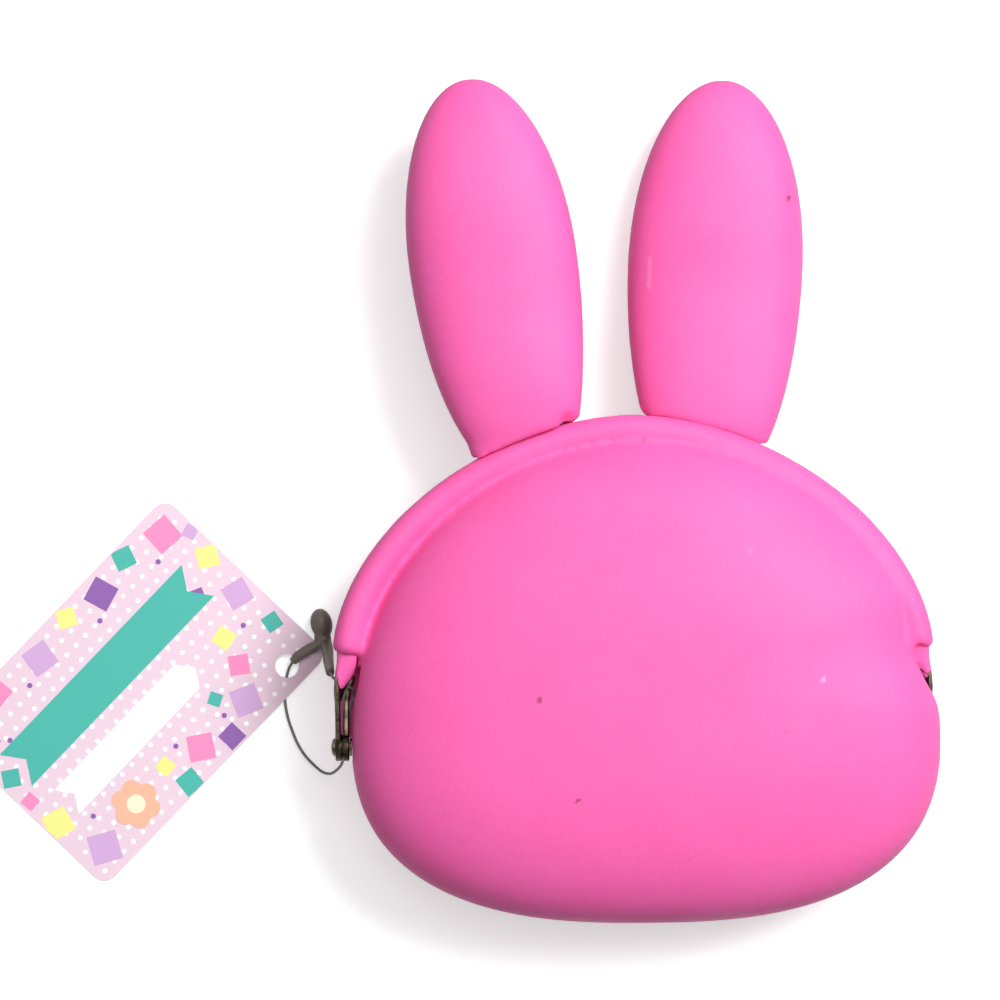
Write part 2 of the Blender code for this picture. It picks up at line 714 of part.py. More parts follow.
def ear_notch(side):
    """The small gap at the inner corner of the front ear's base."""
    base, across, _ = ear_place(side)
    corner = base + across * side * EAR_HALF_WIDE * NOTCH_OUT_SHARE
    crown = rim_point(rim_turn_at(corner.x), 0)
    low = Vector((corner.x - NOTCH_WIDE / 2, crown.y - NOTCH_HIGH, MIDDLE_Z + BEAD_Z))
    high = Vector((corner.x + NOTCH_WIDE / 2, crown.y + NOTCH_HIGH, BODY_DEPTH))
    return box(low, high)


def swing_tag(surface):
    """The card tag, with round corners and a punched hole."""
    half_long = TAG_LONG / 2
    half_wide = TAG_WIDE / 2
    outline = []
    for quarter, (u, v) in enumerate(((1, 1), (-1, 1), (-1, -1), (1, -1))):
        centre = Vector((u * (half_long - TAG_CORNER), v * (half_wide - TAG_CORNER), 0))
        for step in range(CORNER_STEPS):
            turn = math.pi / 2 * (quarter + step / (CORNER_STEPS - 1))
            outline.append(centre + Vector((math.cos(turn), math.sin(turn), 0)) * TAG_CORNER)
    rings = [[point + Vector((0, 0, z)) for point in outline] for z in (0, TAG_THICK)]
    tag = finish("swing_tag", loft(rings), surface, smooth=False)
    hole = Vector((half_long - TAG_HOLE_TO_END, -half_wide + TAG_HOLE_TO_SIDE, 0))
    reach = Vector((0, 0, OVERRUN))
    cut(tag, finish("hole", rod(hole - reach, hole + reach, TAG_HOLE_RADIUS)))
    tag.location = (*TAG_CENTRE, (TAG_FAR_LIFT + TAG_NEAR_LIFT) / 2)
    tilt = math.asin((TAG_NEAR_LIFT - TAG_FAR_LIFT) / TAG_LONG)
    tag.rotation_euler = (0, -tilt, TAG_TURN)
    return tag


def tag_loop(surface):
    """The nylon strand, as one smooth tube through the route's points."""
    route = [Vector(point) for point in LOOP_ROUTE]
    padded = [route[0] * 2 - route[1]] + route + [route[-1] * 2 - route[-2]]
    points = []
    for before, start, end, after in zip(padded, padded[1:], padded[2:], padded[3:]):
        for sample in range(LOOP_SAMPLES):
            t = sample / LOOP_SAMPLES
            bend = 2 * start + (end - before) * t
            bend += (2 * before - 5 * start + 4 * end - after) * t**2
            bend += (3 * start - before - 3 * end + after) * t**3
            points.append(bend / 2)
    points.append(route[-1])
    curve = bpy.data.curves.new("tag_loop", "CURVE")
    curve.dimensions = "3D"
    curve.bevel_depth = LOOP_THICK / 2
    curve.bevel_resolution = LOOP_BEVEL_STEPS
    curve.use_fill_caps = True
    spline = curve.splines.new("POLY")
    spline.points.add(len(points) - 1)
    for target, point in zip(spline.points, points):
        target.co = (*point, 1.0)
    curve.materials.append(surface)
    strand = bpy.data.objects.new("tag_loop", curve)
    bpy.context.scene.collection.objects.link(strand)
    return strand


def loop_lock(surface):
    """The small moulded knob in which the strand's two ends are locked."""
    turns = [math.pi * step / LOCK_STEPS for step in range(1, LOCK_STEPS)]
    profile = [(-LOCK_LONG / 2, 0)]
    profile += [(-math.cos(turn) * LOCK_LONG / 2, math.sin(turn) * LOCK_RADIUS) for turn in turns]
    profile += [(LOCK_LONG / 2, 0)]
    lock = finish("loop_lock", turned(profile, Vector(), Vector((1, 0, 0))), surface)
    lock.location = LOCK_PLACE
    lock.rotation_euler.z = LOCK_TURN
    return lock


def front_ear_pieces():
    """The left ear, which rides on the front half and has a gap at its base's inner corner."""
    surfaces = (
        material("sleeve_left", PINK, 0.6),
        material("core_left", WHITE_PLASTIC, 0.45),
        material("clasp_front", STEEL, 0.25, 1.0),
    )
    pieces = ear(1, "ear_sleeve_left", "ear_core_left", "front_clasp", surfaces)
    cut(pieces[0], ear_notch(1))
    return pieces


def back_ear_pieces():
    """The right ear, which stays with the back half and sags to the surface."""
    surfaces = (
        material("sleeve_right", PINK, 0.6),
        material("core_right", WHITE_PLASTIC, 0.45),
        material("clasp_back", STEEL, 0.25, 1.0),
    )
    return ear(-1, "ear_sleeve_right", "ear_core_right", "back_clasp", surfaces)


def hang_on_axis(pieces):
    """Parent the front half's pieces to an empty on the hinge's axis."""
    axis = bpy.data.objects.new("hinge_axis", None)
    axis.location = (0, 0, MIDDLE_Z)
    bpy.context.scene.collection.objects.link(axis)
    bpy.context.view_layer.update()
    for piece in pieces:
        piece.parent = axis
        piece.matrix_parent_inverse = axis.matrix_world.inverted()


def main():
    """Build every piece and hang the front half on the hinge's axis."""
    clear_scene()
    silicone("pouch", -1, INNER_EYE_X, material("silicone_back", PINK, 0.6))
    flap = silicone("front_flap", 1, OUTER_EYE_X, material("silicone_front", PINK, 0.6))
    frame_half("back_frame", -1, INNER_EYE_X, material("steel_back", STEEL, 0.2, 1.0))
    front_frame = frame_half("front_frame", 1, OUTER_EYE_X, material("steel_front", STEEL, 0.2, 1.0))
    for hand, word in ((1, "right"), (-1, "left")):
        hinge_rivet(f"hinge_rivet_{word}", hand, material(f"rivet_{word}", STEEL, 0.25, 1.0))
        hinge_washer(f"hinge_washer_{word}", hand, material(f"washer_{word}", STEEL, 0.35, 1.0))
    front_ear = front_ear_pieces()
    back_ear_pieces()
    swing_tag(material("card", CARD_PINK, 0.4))
    tag_loop(material("nylon", NYLON_GREY, 0.35))
    loop_lock(material("lock", LOCK_BROWN, 0.5))
    hang_on_axis((flap, front_frame, *front_ear))


main()
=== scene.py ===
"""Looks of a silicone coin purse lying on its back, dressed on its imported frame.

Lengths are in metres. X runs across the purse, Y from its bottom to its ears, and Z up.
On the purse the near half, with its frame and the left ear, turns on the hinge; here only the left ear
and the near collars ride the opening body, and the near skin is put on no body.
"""

import math

import bmesh
import bpy
from mathutils import Matrix, Vector

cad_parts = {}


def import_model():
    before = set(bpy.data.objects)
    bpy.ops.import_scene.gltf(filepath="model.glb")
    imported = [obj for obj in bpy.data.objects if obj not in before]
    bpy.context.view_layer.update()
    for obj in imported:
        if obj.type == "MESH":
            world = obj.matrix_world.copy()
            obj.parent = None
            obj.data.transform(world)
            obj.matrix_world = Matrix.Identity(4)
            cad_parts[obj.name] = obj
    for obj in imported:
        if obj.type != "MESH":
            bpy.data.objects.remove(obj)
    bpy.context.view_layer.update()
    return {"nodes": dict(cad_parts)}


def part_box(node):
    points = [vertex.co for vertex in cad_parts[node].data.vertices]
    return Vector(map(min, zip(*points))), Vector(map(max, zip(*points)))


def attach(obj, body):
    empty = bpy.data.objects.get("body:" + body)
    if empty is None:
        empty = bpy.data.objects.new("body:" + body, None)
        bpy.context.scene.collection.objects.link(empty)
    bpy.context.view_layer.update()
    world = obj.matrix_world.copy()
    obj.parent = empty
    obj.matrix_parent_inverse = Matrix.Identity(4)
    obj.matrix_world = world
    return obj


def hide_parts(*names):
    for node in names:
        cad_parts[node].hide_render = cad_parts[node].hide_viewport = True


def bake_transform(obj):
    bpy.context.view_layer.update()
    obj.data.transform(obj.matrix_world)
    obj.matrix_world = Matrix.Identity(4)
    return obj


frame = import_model()

STAYS = "back_half"
OPENS = "front_half"

MM = 0.001
MM_PER_METRE = 1000

# Body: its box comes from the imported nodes, and its shares are those of its solid.
POUCH_LOW, POUCH_HIGH = (Vector(corner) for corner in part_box("pouch"))
FLAP_HIGH = Vector(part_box("front_flap")[1])
BODY_DEPTH = FLAP_HIGH.z
MIDDLE_Z = BODY_DEPTH / 2
BODY_HALF_WIDTH = 0.0492
BODY_TOP = 0.0485
WIDEST_Y = 0.003
# The soft floor sags a touch below its solid.
SAG = 0.0004
BODY_BOTTOM = WIDEST_Y - POUCH_LOW.y + SAG
WALL = 0.002
REST_FLAT = 0.0004
DOME_CENTRE_Y = 0.008
# The soft walls hang a little to the right on their stiff frame.
DOME_SHIFT = 0.0021
# The wall is drawn in under the right end of the bead.
PINCH_DEPTH = 0.0027
PINCH_Y = 0.0165
PINCH_REACH = 0.0115
BOTTOM_SQUARENESS = 2.6
TOP_SQUARENESS = 2.0
DOME_FULLNESS = 2.5
DOME_SEGMENTS = 192
DOME_RINGS = 96

# Mouth: the rolled beads.
RIM_HALF_WIDTH = -POUCH_LOW.x
RIM_TOP_Y = POUCH_HIGH.y
RIM_FOOT_Y = 0.015
RIM_SQUARENESS = 1.8
BEAD_ACROSS = 0.0052
BEAD_DEEP = 0.0055
MOUTH_GAP = 0.0004
BEAD_Z = MOUTH_GAP / 2 + BEAD_DEEP / 2
SLIT = 0.0003
RIM_STEPS = 120
BEAD_SIDES = 36
BEAD_END_STEPS = 8
BEAD_END_REACH = 0.0012
BEAD_FOOT_TURN = 0.055

# Hinges and the room round the frame's legs.
HINGE_INNER_X = RIM_HALF_WIDTH - 0.0033
INNER_EYE_X = HINGE_INNER_X + 0.00095
OUTER_EYE_X = HINGE_INNER_X + 0.0023
EYE_RADIUS = 0.0022
HINGE_ROOM = 0.0004
# A collar rounds off each eye of the frame, as stamping does.
KNUCKLE_RADIUS = 0.0023
KNUCKLE_SKIN = 0.00004
KNUCKLE_GAP = 0.00004
KNUCKLE_EDGE = 0.00022
STRIP_WIDE = 0.003
STRIP_THICK = 0.0009
STRIP_FIT = 0.0003
LEG_CLEARANCE = 0.00085
LEG_STEPS = 24
LEG_TWIST_SHARE = 0.55
LEG_SPREAD_SHARE = 0.5
LEG_ROOM = 0.00002
WELD_GAP = 0.000005
# A tongue of silicone covers the top of each leg and narrows to a round end.
SHEATH_SHARE = 0.345
SHEATH_SKIN = 0.00016
SHEATH_POINT = 0.93
SHEATH_ROOT = 0.45
SHEATH_TAPER = 3
SHEATH_SQUARENESS = 0.7
# A lip of the far wall stands out behind the left legs.
LIP_PROUD = 0.0023
LIP_BOTTOM = 0.0012
LIP_DEEP = 0.0042
LIP_THICK = 0.0014
# Corners of the gap under the right end of the near bead, in millimetres.
WEDGE = (
    (46.6, 16.9), (47.4, 14.6), (48.5, 12.0), (49.5, 9.3),
    (51.5, 9.3), (51.5, 12.2), (49.4, 14.6), (48.5, 16.1),
)

# Ears.
EAR_LENGTH = 0.0608
EAR_BELLY = EAR_LENGTH * 0.5
EAR_HALF_WIDE = 0.0141
EAR_HALF_THICK = 0.0075
TAPER_WIDE_SHARE = 1.33
TAPER_THICK_SHARE = 1.15
EAR_WALL = 0.0018
EAR_HOLLOW = EAR_LENGTH * 0.76
EAR_SPACING = 0.0316
EAR_SHIFT = -0.0029
EAR_BASE_Y = RIM_TOP_Y - 0.004
# The soft foot of an ear is pressed a little way round its bead.
EAR_PRESS = 0.0005
EAR_BEAD_GAP = 0.00015
EAR_OVERRUN = 0.006
BACK_EAR_DROP = 0.0014
FRONT_EAR_LEAN = math.radians(7.7)
BACK_EAR_LEAN = math.radians(-3.2)
FRONT_EAR_SAG = 0.0025
EAR_ROUNDNESS = 2.2
# The right sleeve is the fuller and longer one, and the left one bends in at its foot.
BACK_EAR_SWELL = 0.00065
BACK_EAR_REACH = 0.0009
FRONT_EAR_BEND = 0.0008
EAR_SIDES = 72
EAR_STEPS = 30
# A small gap shows at the inner corner of the left ear's foot.
NOTCH_WIDE = 0.0044
NOTCH_HIGH = 0.0013
NOTCH_LIFT = 0.0012
NOTCH_OUT_SHARE = 0.66

# Silicone is blended by a fine remesh, so that no corner of it stays sharp.
VOXEL = 0.0005
SMOOTHINGS = 26
OVERRUN = 0.005
SHARP = math.radians(35)
ROD_SIDES = 48

# Marks on the silicone, seen from above: across, up, radius in millimetres, strength.
DARK_SPECKS = (
    (26.8, 91.1, 0.42, 1.0), (-15.9, 8.0, 0.33, 1.0), (-15.4, 8.0, 0.33, 1.0), (-15.5, 10.3, 0.6, 0.14),
    (-9.5, -8.6, 0.38, 1.0), (2.0, 50.8, 0.5, 0.4), (24.9, 2.3, 0.5, 0.14), (-30.4, 20.2, 0.5, 0.1),
    (-14.2, 68.6, 0.4, 0.12), (13.6, 76.4, 0.4, 0.12), (8.8, -18.6, 0.5, 0.1),
)
PALE_SPECKS = ((31.2, 10.9, 0.45, 0.8), (19.2, 32.3, 0.6, 0.15))
# A long faint scuff on the right ear: across, low end, high end, half width, strength.
SCUFF = (3.4, 76.2, 81.6, 0.3, 0.24)
# A mark shows only where the face looks up by more than this.
MARK_FACING = 0.2

# Tag.
TAG_WIDE = 0.0383
TAG_LONG = 0.0545
TAG_THICK = 0.0004
TAG_CORNER = 0.0025
TAG_CORNER_STEPS = 8
TAG_HOLE_RADIUS = 0.002
TAG_HOLE_TO_END = 0.0063
TAG_HOLE_TO_SIDE = 0.0037
TAG_CENTRE = Vector((-0.0838, 0.0091))
TAG_TURN = math.radians(45.7)
TAG_FAR_LIFT = 0.0001
TAG_NEAR_LIFT = 0.001
INK_THICK = 0.000012
PRINT_MARGIN = 0.0002
PRINT_SIDES = 20
DOT_PITCH = 0.0023
DOT_RADIUS = 0.00042
DOT_SIDES = 14
DOT_COLUMNS = 13

# Printed scraps, in millimetres on the card: along, across, side, turn in degrees, ink.
SCRAPS = (
    (-23, 14, 5.2, 20, "purple"), (-16, 16.5, 3.4, 50, "pink"), (-25, 5, 3.0, 10, "teal"),
    (-7, 15.5, 4.6, 35, "lilac"), (1, 17, 3.2, 15, "yellow"), (8, 15.6, 4.4, 60, "purple"),
    (15, 17, 3.4, 25, "teal"), (22.5, 15, 4.8, 40, "pink"), (25, 7, 3.6, 12, "yellow"),
    (24, -1, 4.2, 30, "lilac"), (17, -4.5, 3.2, 55, "yellow"), (12, -14.5, 4.6, 20, "lilac"),
    (6, -17, 3.4, 45, "purple"), (15.5, -9.5, 3.4, 8, "pink"), (24.6, -8.5, 2.8, 33, "teal"),
    (1, -14.5, 4.4, 10, "pink"), (-4.5, -17.2, 3.6, 38, "teal"), (-25, -6, 4.4, 28, "yellow"),
    (-22.5, -14.5, 5.0, 15, "lilac"), (-5.5, -12.4, 2.6, 50, "yellow"), (-25.6, 0, 2.4, 48, "pink"),
    (19, 3.6, 2.4, 20, "purple"), (8.5, -10.6, 2.2, 70, "teal"), (26, 12, 2.2, 62, "lilac"),
)
# Printed spots, in millimetres on the card.
BUTTONS = (
    (-20.5, 9.6), (-11.5, 13.6), (4.6, 12.6), (18.6, 12.4),
    (20.8, -5.4), (7.6, -13.6), (-1.8, -11.3), (-20, -9.4),
)
BUTTON_RADIUS = 0.45
BANDS = (
    ("teal", ((-23.5, 1.6), (21, 1.6), (18.4, 5.4), (21, 9.2), (-23.5, 9.2), (-20.9, 5.4))),
    ("white", ((-21.5, -7.4), (8, -7.4), (10, -4.5), (8, -1.6), (-21.5, -1.6), (-19.5, -4.5))),
)
FLOWER = (-13.5, -13.2)
PETALS = 6
PETAL_OUT = 2.5
PETAL_RADIUS = 1.7
HEART_RADIUS = 1.6
INKS = {
    "ground": "EBCFDF", "white": "FFFFFF", "purple": "8A57A8", "lilac": "D2A8D8", "pink": "FF8CC0",
    "teal": "3FB3A6", "yellow": "F2F08A", "peach": "F7B99A", "cream": "FFF1CF",
}

# Loop: lock, round the far half's left leg, under the tag, up through its hole, lock.
LOOP_THICK = 0.0005
LOOP_ROUTE = (
    (-0.0515, 0.0172, 0.0023),
    (-0.0511, 0.0158, 0.0050),
    (-0.0509, 0.0142, 0.0095),
    (-0.0505, 0.0124, 0.0140),
    (-0.0494, 0.0111, 0.0159),
    (-0.0478, 0.0103, 0.0161),
    (-0.0466, 0.0095, 0.0154),
    (-0.0465, 0.0087, 0.0138),
    (-0.0468, 0.0076, 0.0123),
    (-0.0472, 0.0060, 0.0121),
    (-0.0476, 0.0036, 0.0121),
    (-0.0479, 0.0008, 0.0119),
    (-0.0484, -0.0018, 0.0096),
    (-0.0496, -0.0040, 0.0063),
    (-0.0515, -0.0048, 0.0036),
    (-0.0539, -0.0032, 0.0017),
    (-0.0560, -0.0006, 0.0008),
    (-0.0573, 0.0023, 0.0004),
    (-0.0582, 0.0053, 0.0004),
    (-0.0585, 0.0083, 0.0004),
    (-0.0583, 0.0104, 0.0004),
    (-0.0579, 0.0125, 0.0009),
    (-0.0571, 0.0140, 0.0016),
    (-0.0562, 0.0150, 0.0020),
    (-0.0550, 0.0157, 0.0022),
    (-0.0537, 0.0164, 0.0022),
    (-0.0525, 0.0171, 0.0022),
)
LOCK_RADIUS = 0.00185
LOCK_LONG = 0.0052
LOCK_PLACE = Vector((-0.0522, 0.0204, 0.002))
LOCK_TURN = math.radians(102)
# The lock's two arms thin out along the strand's first and last points.
FIRST_ARM_RADII = (0.0012, 0.00105, 0.00098, 0.0009, 0.00075)
LAST_ARM_RADII = (0.0012, 0.001, 0.00098, 0.00092, 0.00085, 0.0007)
ARM_SIDES = 20
LOCK_VOXEL = 0.00014
LOCK_SMOOTHINGS = 6

# View: straight down, with the purse rolled a touch in the picture.
VIEW_CENTRE = Vector((-0.0219, 0.0410))
VIEW_WIDTH = 0.1667
VIEW_HEIGHT = 1.2
VIEW_ROLL = math.radians(-0.5)
SENSOR = 36.0

# Light.
FLOOR_SIZE = 6.0
WORLD_FILL = 0.13
LAMP_TARGET = (0, 0.02, 0)
KEY_PLACE = (0.5, 0.42, 0.8)
KEY_SIZE = 0.5
KEY_POWER = 11.8
FILL_PLACE = (0.0, 0.3, 1.1)
FILL_SIZE = 0.8
FILL_POWER = 3.9


# Tools


def only(piece):
    """Leave one object selected and active."""
    bpy.ops.object.select_all(action="DESELECT")
    piece.select_set(True)
    bpy.context.view_layer.objects.active = piece


def apply(piece, kind, **settings):
    """Add a modifier with its settings and apply it."""
    only(piece)
    change = piece.modifiers.new(kind.lower(), kind)
    for name, value in settings.items():
        setattr(change, name, value)
    bpy.ops.object.modifier_apply(modifier=change.name)


def cut(piece, tool):
    """Take a tool's space out of a piece and delete the tool."""
    apply(piece, "BOOLEAN", operation="DIFFERENCE", solver="EXACT", object=tool)
    bpy.data.objects.remove(tool, do_unlink=True)


def join(piece, tool):
    """Fuse a tool into a piece."""
    apply(piece, "BOOLEAN", operation="UNION", solver="EXACT", object=tool)
    bpy.data.objects.remove(tool, do_unlink=True)


def settle(piece):
    """Put a piece's place into its mesh."""
    only(piece)
    bpy.ops.object.transform_apply(location=True, rotation=True, scale=True)


def smooth(piece):
    """Shade a piece smooth, with hard edges only where its faces meet sharply."""
    only(piece)
    bpy.ops.object.shade_smooth_by_angle(angle=SHARP)


def box(low, high):
    """A block between two corners."""
    centre = (Vector(low) + Vector(high)) / 2
    bpy.ops.object.select_all(action="DESELECT")
    bpy.ops.mesh.primitive_cube_add(size=1, location=centre)
    block = bpy.context.object
    block.scale = Vector(high) - Vector(low)
    settle(block)
    return block


def rod(start, end, radius):
    """A round bar between two points."""
    start, end = Vector(start), Vector(end)
    bpy.ops.object.select_all(action="DESELECT")
    bpy.ops.mesh.primitive_cylinder_add(
        vertices=ROD_SIDES, radius=radius, depth=(end - start).length, location=(start + end) / 2
    )
    bar = bpy.context.object
    bar.rotation_euler = (end - start).to_track_quat("Z", "Y").to_euler()
    settle(bar)
    return bar


def loft(name, rings, first_pole=None, last_pole=None):
    """Bridge rings of points into one closed skin, with a pole or a flat cap at each end."""
    bm = bmesh.new()
    loops = [[bm.verts.new(point) for point in ring] for ring in rings]
    for low, high in zip(loops, loops[1:]):
        for step, vert in enumerate(low):
            after = (step + 1) % len(low)
            bm.faces.new((vert, low[after], high[after], high[step]))
    for loop, pole in ((loops[0], first_pole), (loops[-1], last_pole)):
        if pole is None:
            bm.faces.new(loop)
            continue
        tip = bm.verts.new(pole)
        for step, vert in enumerate(loop):
            bm.faces.new((vert, loop[(step + 1) % len(loop)], tip))
    bmesh.ops.recalc_face_normals(bm, faces=bm.faces)
    mesh = bpy.data.meshes.new(name)
    bm.to_mesh(mesh)
    bm.free()
    made = bpy.data.objects.new(name, mesh)
    bpy.context.scene.collection.objects.link(made)
    return made


def prism(name, corners, low, high):
    """A flat shape given a thickness."""
    return loft(name, [[Vector((u, v, z)) for u, v in corners] for z in (low, high)])


def signed_power(value, power):
    """Raise a sine or cosine to a power and keep its sign."""
    return math.copysign(abs(value) ** power, value)


def ease(share):
    """Go from 0 to 1 without a corner at either end."""
    share = min(max(share, 0), 1)
    return share * share * (3 - 2 * share)


# Camera


def camera():
    """Look straight down from far away, as the photograph does."""
    seen = bpy.data.cameras.new("camera")
    seen.sensor_width = SENSOR
    seen.lens = SENSOR * VIEW_HEIGHT / VIEW_WIDTH
    made = bpy.data.objects.new("camera", seen)
    made.location = (*VIEW_CENTRE, MIDDLE_Z + VIEW_HEIGHT)
    made.rotation_euler.z = VIEW_ROLL
    bpy.context.scene.collection.objects.link(made)
    bpy.context.scene.camera = made


# Materials


def linear(hex_colour):
    """An sRGB hex colour as linear red, green, blue and alpha."""
    parts = [int(hex_colour[i : i + 2], 16) / 255 for i in (0, 2, 4)]
    return (*(c / 12.92 if c <= 0.04045 else ((c + 0.055) / 1.055) ** 2.4 for c in parts), 1.0)


def node(tree, kind, settings=None, **links):
    """Add a node, set its properties and sockets, and link what feeds it."""
    made = tree.nodes.new(kind)
    for name, value in (settings or {}).items():
        if hasattr(made, name):
            setattr(made, name, value)
        else:
            made.inputs[name].default_value = value
    for name, source in links.items():
        key = int(name[1:]) if name[0] == "i" and name[1:].isdigit() else name.replace("_", " ")
        tree.links.new(source, made.inputs[key])
    return made


def new_material(name, colour, roughness, metallic=0.0, **sockets):
    """A material with its shader set, and its tree, shader and Object coordinates."""
    made = bpy.data.materials.new(name)
    made.use_nodes = True
    tree = made.node_tree
    shader = tree.nodes["Principled BSDF"]
    shader.inputs["Base Color"].default_value = linear(colour)
    shader.inputs["Roughness"].default_value = roughness
    shader.inputs["Metallic"].default_value = metallic
    for name, value in sockets.items():
        shader.inputs[name.replace("_", " ")].default_value = value
    where = node(tree, "ShaderNodeTexCoord").outputs["Object"]
    return made, tree, shader, where


def ramp(tree, source, stops):
    """A colour ramp through (place, sRGB hex) stops."""
    made = node(tree, "ShaderNodeValToRGB", None, Fac=source)
    elements = made.color_ramp.elements
    while len(elements) < len(stops):
        elements.new(0.5)
    for element, (place, colour) in zip(elements, stops):
        element.position = place
        element.color = linear(colour)
    return made.outputs["Color"]


def mixed(tree, share, low, high, blend="MIX"):
    """Two colours, each a socket or an sRGB hex, mixed by a share, a socket or a number."""
    made = node(tree, "ShaderNodeMix", {"data_type": "RGBA", "blend_type": blend})
    for name, source in (("Factor", share), ("A", low), ("B", high)):
        socket = next(one for one in made.inputs if one.name == name and one.enabled)
        if isinstance(source, bpy.types.NodeSocket):
            tree.links.new(source, socket)
        else:
            socket.default_value = linear(source) if isinstance(source, str) else source
    return next(one for one in made.outputs if one.enabled)


def silicone():
    """Moulded silicone rubber: matte and faintly powdery, with specks of lint that cling to it."""
    # Pigmented through, so light soaks in a little and the edges stay soft and saturated.
    made, tree, shader, where = new_material("silicone_rubber", "FF67B3", 0.56, IOR=1.41)
    shader.inputs["Subsurface Weight"].default_value = 0.14
    shader.inputs["Subsurface Radius"].default_value = (0.0022, 0.0006, 0.0009)
    shader.inputs["Subsurface Scale"].default_value = 1.0
    # Handling leaves the tone a little uneven over about 12 mm.
    drift = node(tree, "ShaderNodeTexNoise", {"Scale": 80.0, "Detail": 2.0}, Vector=where)
    tone = ramp(tree, drift.outputs["Fac"], ((0.3, "FE65B1"), (0.7, "FF6AB6")))
    # Grain of the mould's blasted face, drawn at about 0.4 mm so that it shows.
    grain = node(tree, "ShaderNodeTexNoise", {"Scale": 2600.0, "Detail": 2.0}, Vector=where)
    speckle = ramp(tree, grain.outputs["Fac"], ((0.3, "F4F4F4"), (0.7, "FFFFFF")))
    tone = mixed(tree, 1.0, tone, speckle, "MULTIPLY")
    # Lint shows as dark specks, and powder as pale ones.
    speck = node(tree, "ShaderNodeAttribute", {"attribute_name": "speck"})
    tone = mixed(tree, speck.outputs["Fac"], tone, "5E1436")
    dust = node(tree, "ShaderNodeAttribute", {"attribute_name": "dust"})
    tone = mixed(tree, dust.outputs["Fac"], tone, "FFB9E4")
    tree.links.new(tone, shader.inputs["Base Color"])
    # Palms polish it in patches of about 15 mm.
    polish = node(tree, "ShaderNodeTexNoise", {"Scale": 65.0, "Detail": 1.0}, Vector=where)
    spread = {"To Min": 0.5, "To Max": 0.64}
    gloss = node(tree, "ShaderNodeMapRange", spread, Value=polish.outputs["Fac"])
    tree.links.new(gloss.outputs["Result"], shader.inputs["Roughness"])
    relief = {"Strength": 0.25, "Distance": 0.00004}
    bump = node(tree, "ShaderNodeBump", relief, Height=grain.outputs["Fac"])
    tree.links.new(bump.outputs["Normal"], shader.inputs["Normal"])
    return made


def fleck(piece):
    """Mark the specks and the scuff on a piece's upper face as attributes for its material."""
    across, low, high, reach, faint = SCUFF
    for name, places in (("speck", DARK_SPECKS), ("dust", PALE_SPECKS)):
        marks = piece.data.attributes.new(name, "FLOAT", "POINT")
        for index, vert in enumerate(piece.data.vertices):
            if vert.normal.z < MARK_FACING:
                continue
            place = vert.co * MM_PER_METRE
            for x, y, radius, strength in places:
                away = math.hypot(place.x - x, place.y - y)
                # A speck fades to half its strength at its edge.
                if away < radius:
                    marks.data[index].value = strength * (1 - away / radius / 2)
            if name == "dust" and low < place.y < high and abs(place.x - across) < reach:
                marks.data[index].value = faint


def plated_steel(name, colour, tarnish_and_shade, roughness):
    """Nickel-plated stamped steel, mottled in patches between its colour and a darker brown, both kept
    dark as painted shade for the dark room that the metal reflects.
    """
    made, tree, shader, where = new_material(name, colour, roughness, 1.0)
    # Patches of about 1.5 mm, part random tarnish and part painted shade.
    patches = node(tree, "ShaderNodeTexNoise", {"Scale": 700.0, "Detail": 4.0}, Vector=where)
    tone = ramp(tree, patches.outputs["Fac"], ((0.35, tarnish_and_shade), (0.62, colour)))
    tree.links.new(tone, shader.inputs["Base Color"])
    return made


def plain(name, colour, roughness):
    """A moulded, drawn or printed surface, with a faint grain of half a millimetre."""
    made, tree, shader, where = new_material(name, colour, roughness)
    pattern = node(tree, "ShaderNodeTexNoise", {"Scale": 2000.0, "Detail": 3.0}, Vector=where)
    relief = {"Strength": 0.3, "Distance": 0.00002}
    bump = node(tree, "ShaderNodeBump", relief, Height=pattern.outputs["Fac"])
    tree.links.new(bump.outputs["Normal"], shader.inputs["Normal"])
    return made


# Silicone body


def pinch(x, y):
    """How far the wall is drawn in beside the right end of the bead."""
    if x <= 0:
        return 0
    near = max(1 - ((y - PINCH_Y) / PINCH_REACH) ** 2, 0)
    return PINCH_DEPTH * near * near


def dome_place(unit, inset):
    """Map a point of the unit sphere to the pillow that both walls make."""
    turn = math.atan2(unit.y, unit.x)
    rise = math.asin(max(-1.0, min(1.0, unit.z)))
    top = unit.y >= 0
    power = 2 / (TOP_SQUARENESS if top else BOTTOM_SQUARENESS)
    reach = (BODY_TOP if top else BODY_BOTTOM) - inset
    x = signed_power(math.cos(turn), power) * (BODY_HALF_WIDTH - inset)
    y = WIDEST_Y + signed_power(math.sin(turn), power) * reach
    x -= pinch(x, y)
    share = math.cos(rise) ** (2 / DOME_FULLNESS)
    flat = REST_FLAT if rise < 0 else 0
    lift = signed_power(math.sin(rise), 2 / DOME_FULLNESS) * (MIDDLE_Z + flat - inset)
    return Vector((DOME_SHIFT + x * share, DOME_CENTRE_Y + (y - DOME_CENTRE_Y) * share, MIDDLE_Z + lift))


def dome(inset):
    """The pillow, inset by the wall for the space inside."""
    bpy.ops.object.select_all(action="DESELECT")
    bpy.ops.mesh.primitive_uv_sphere_add(segments=DOME_SEGMENTS, ring_count=DOME_RINGS, radius=1)
    made = bpy.context.object
    for vert in made.data.vertices:
        vert.co = dome_place(vert.co, inset)
    return made


def rim_point(turn, inset):
    """A point of the rim's arch, inset from its outer edge; turn runs from 0 right to pi left."""
    power = 2 / RIM_SQUARENESS
    x = signed_power(math.cos(turn), power) * (RIM_HALF_WIDTH - inset)
    y = RIM_FOOT_Y + signed_power(math.sin(turn), power) * (RIM_TOP_Y - RIM_FOOT_Y - inset)
    return Vector((x, y, 0))


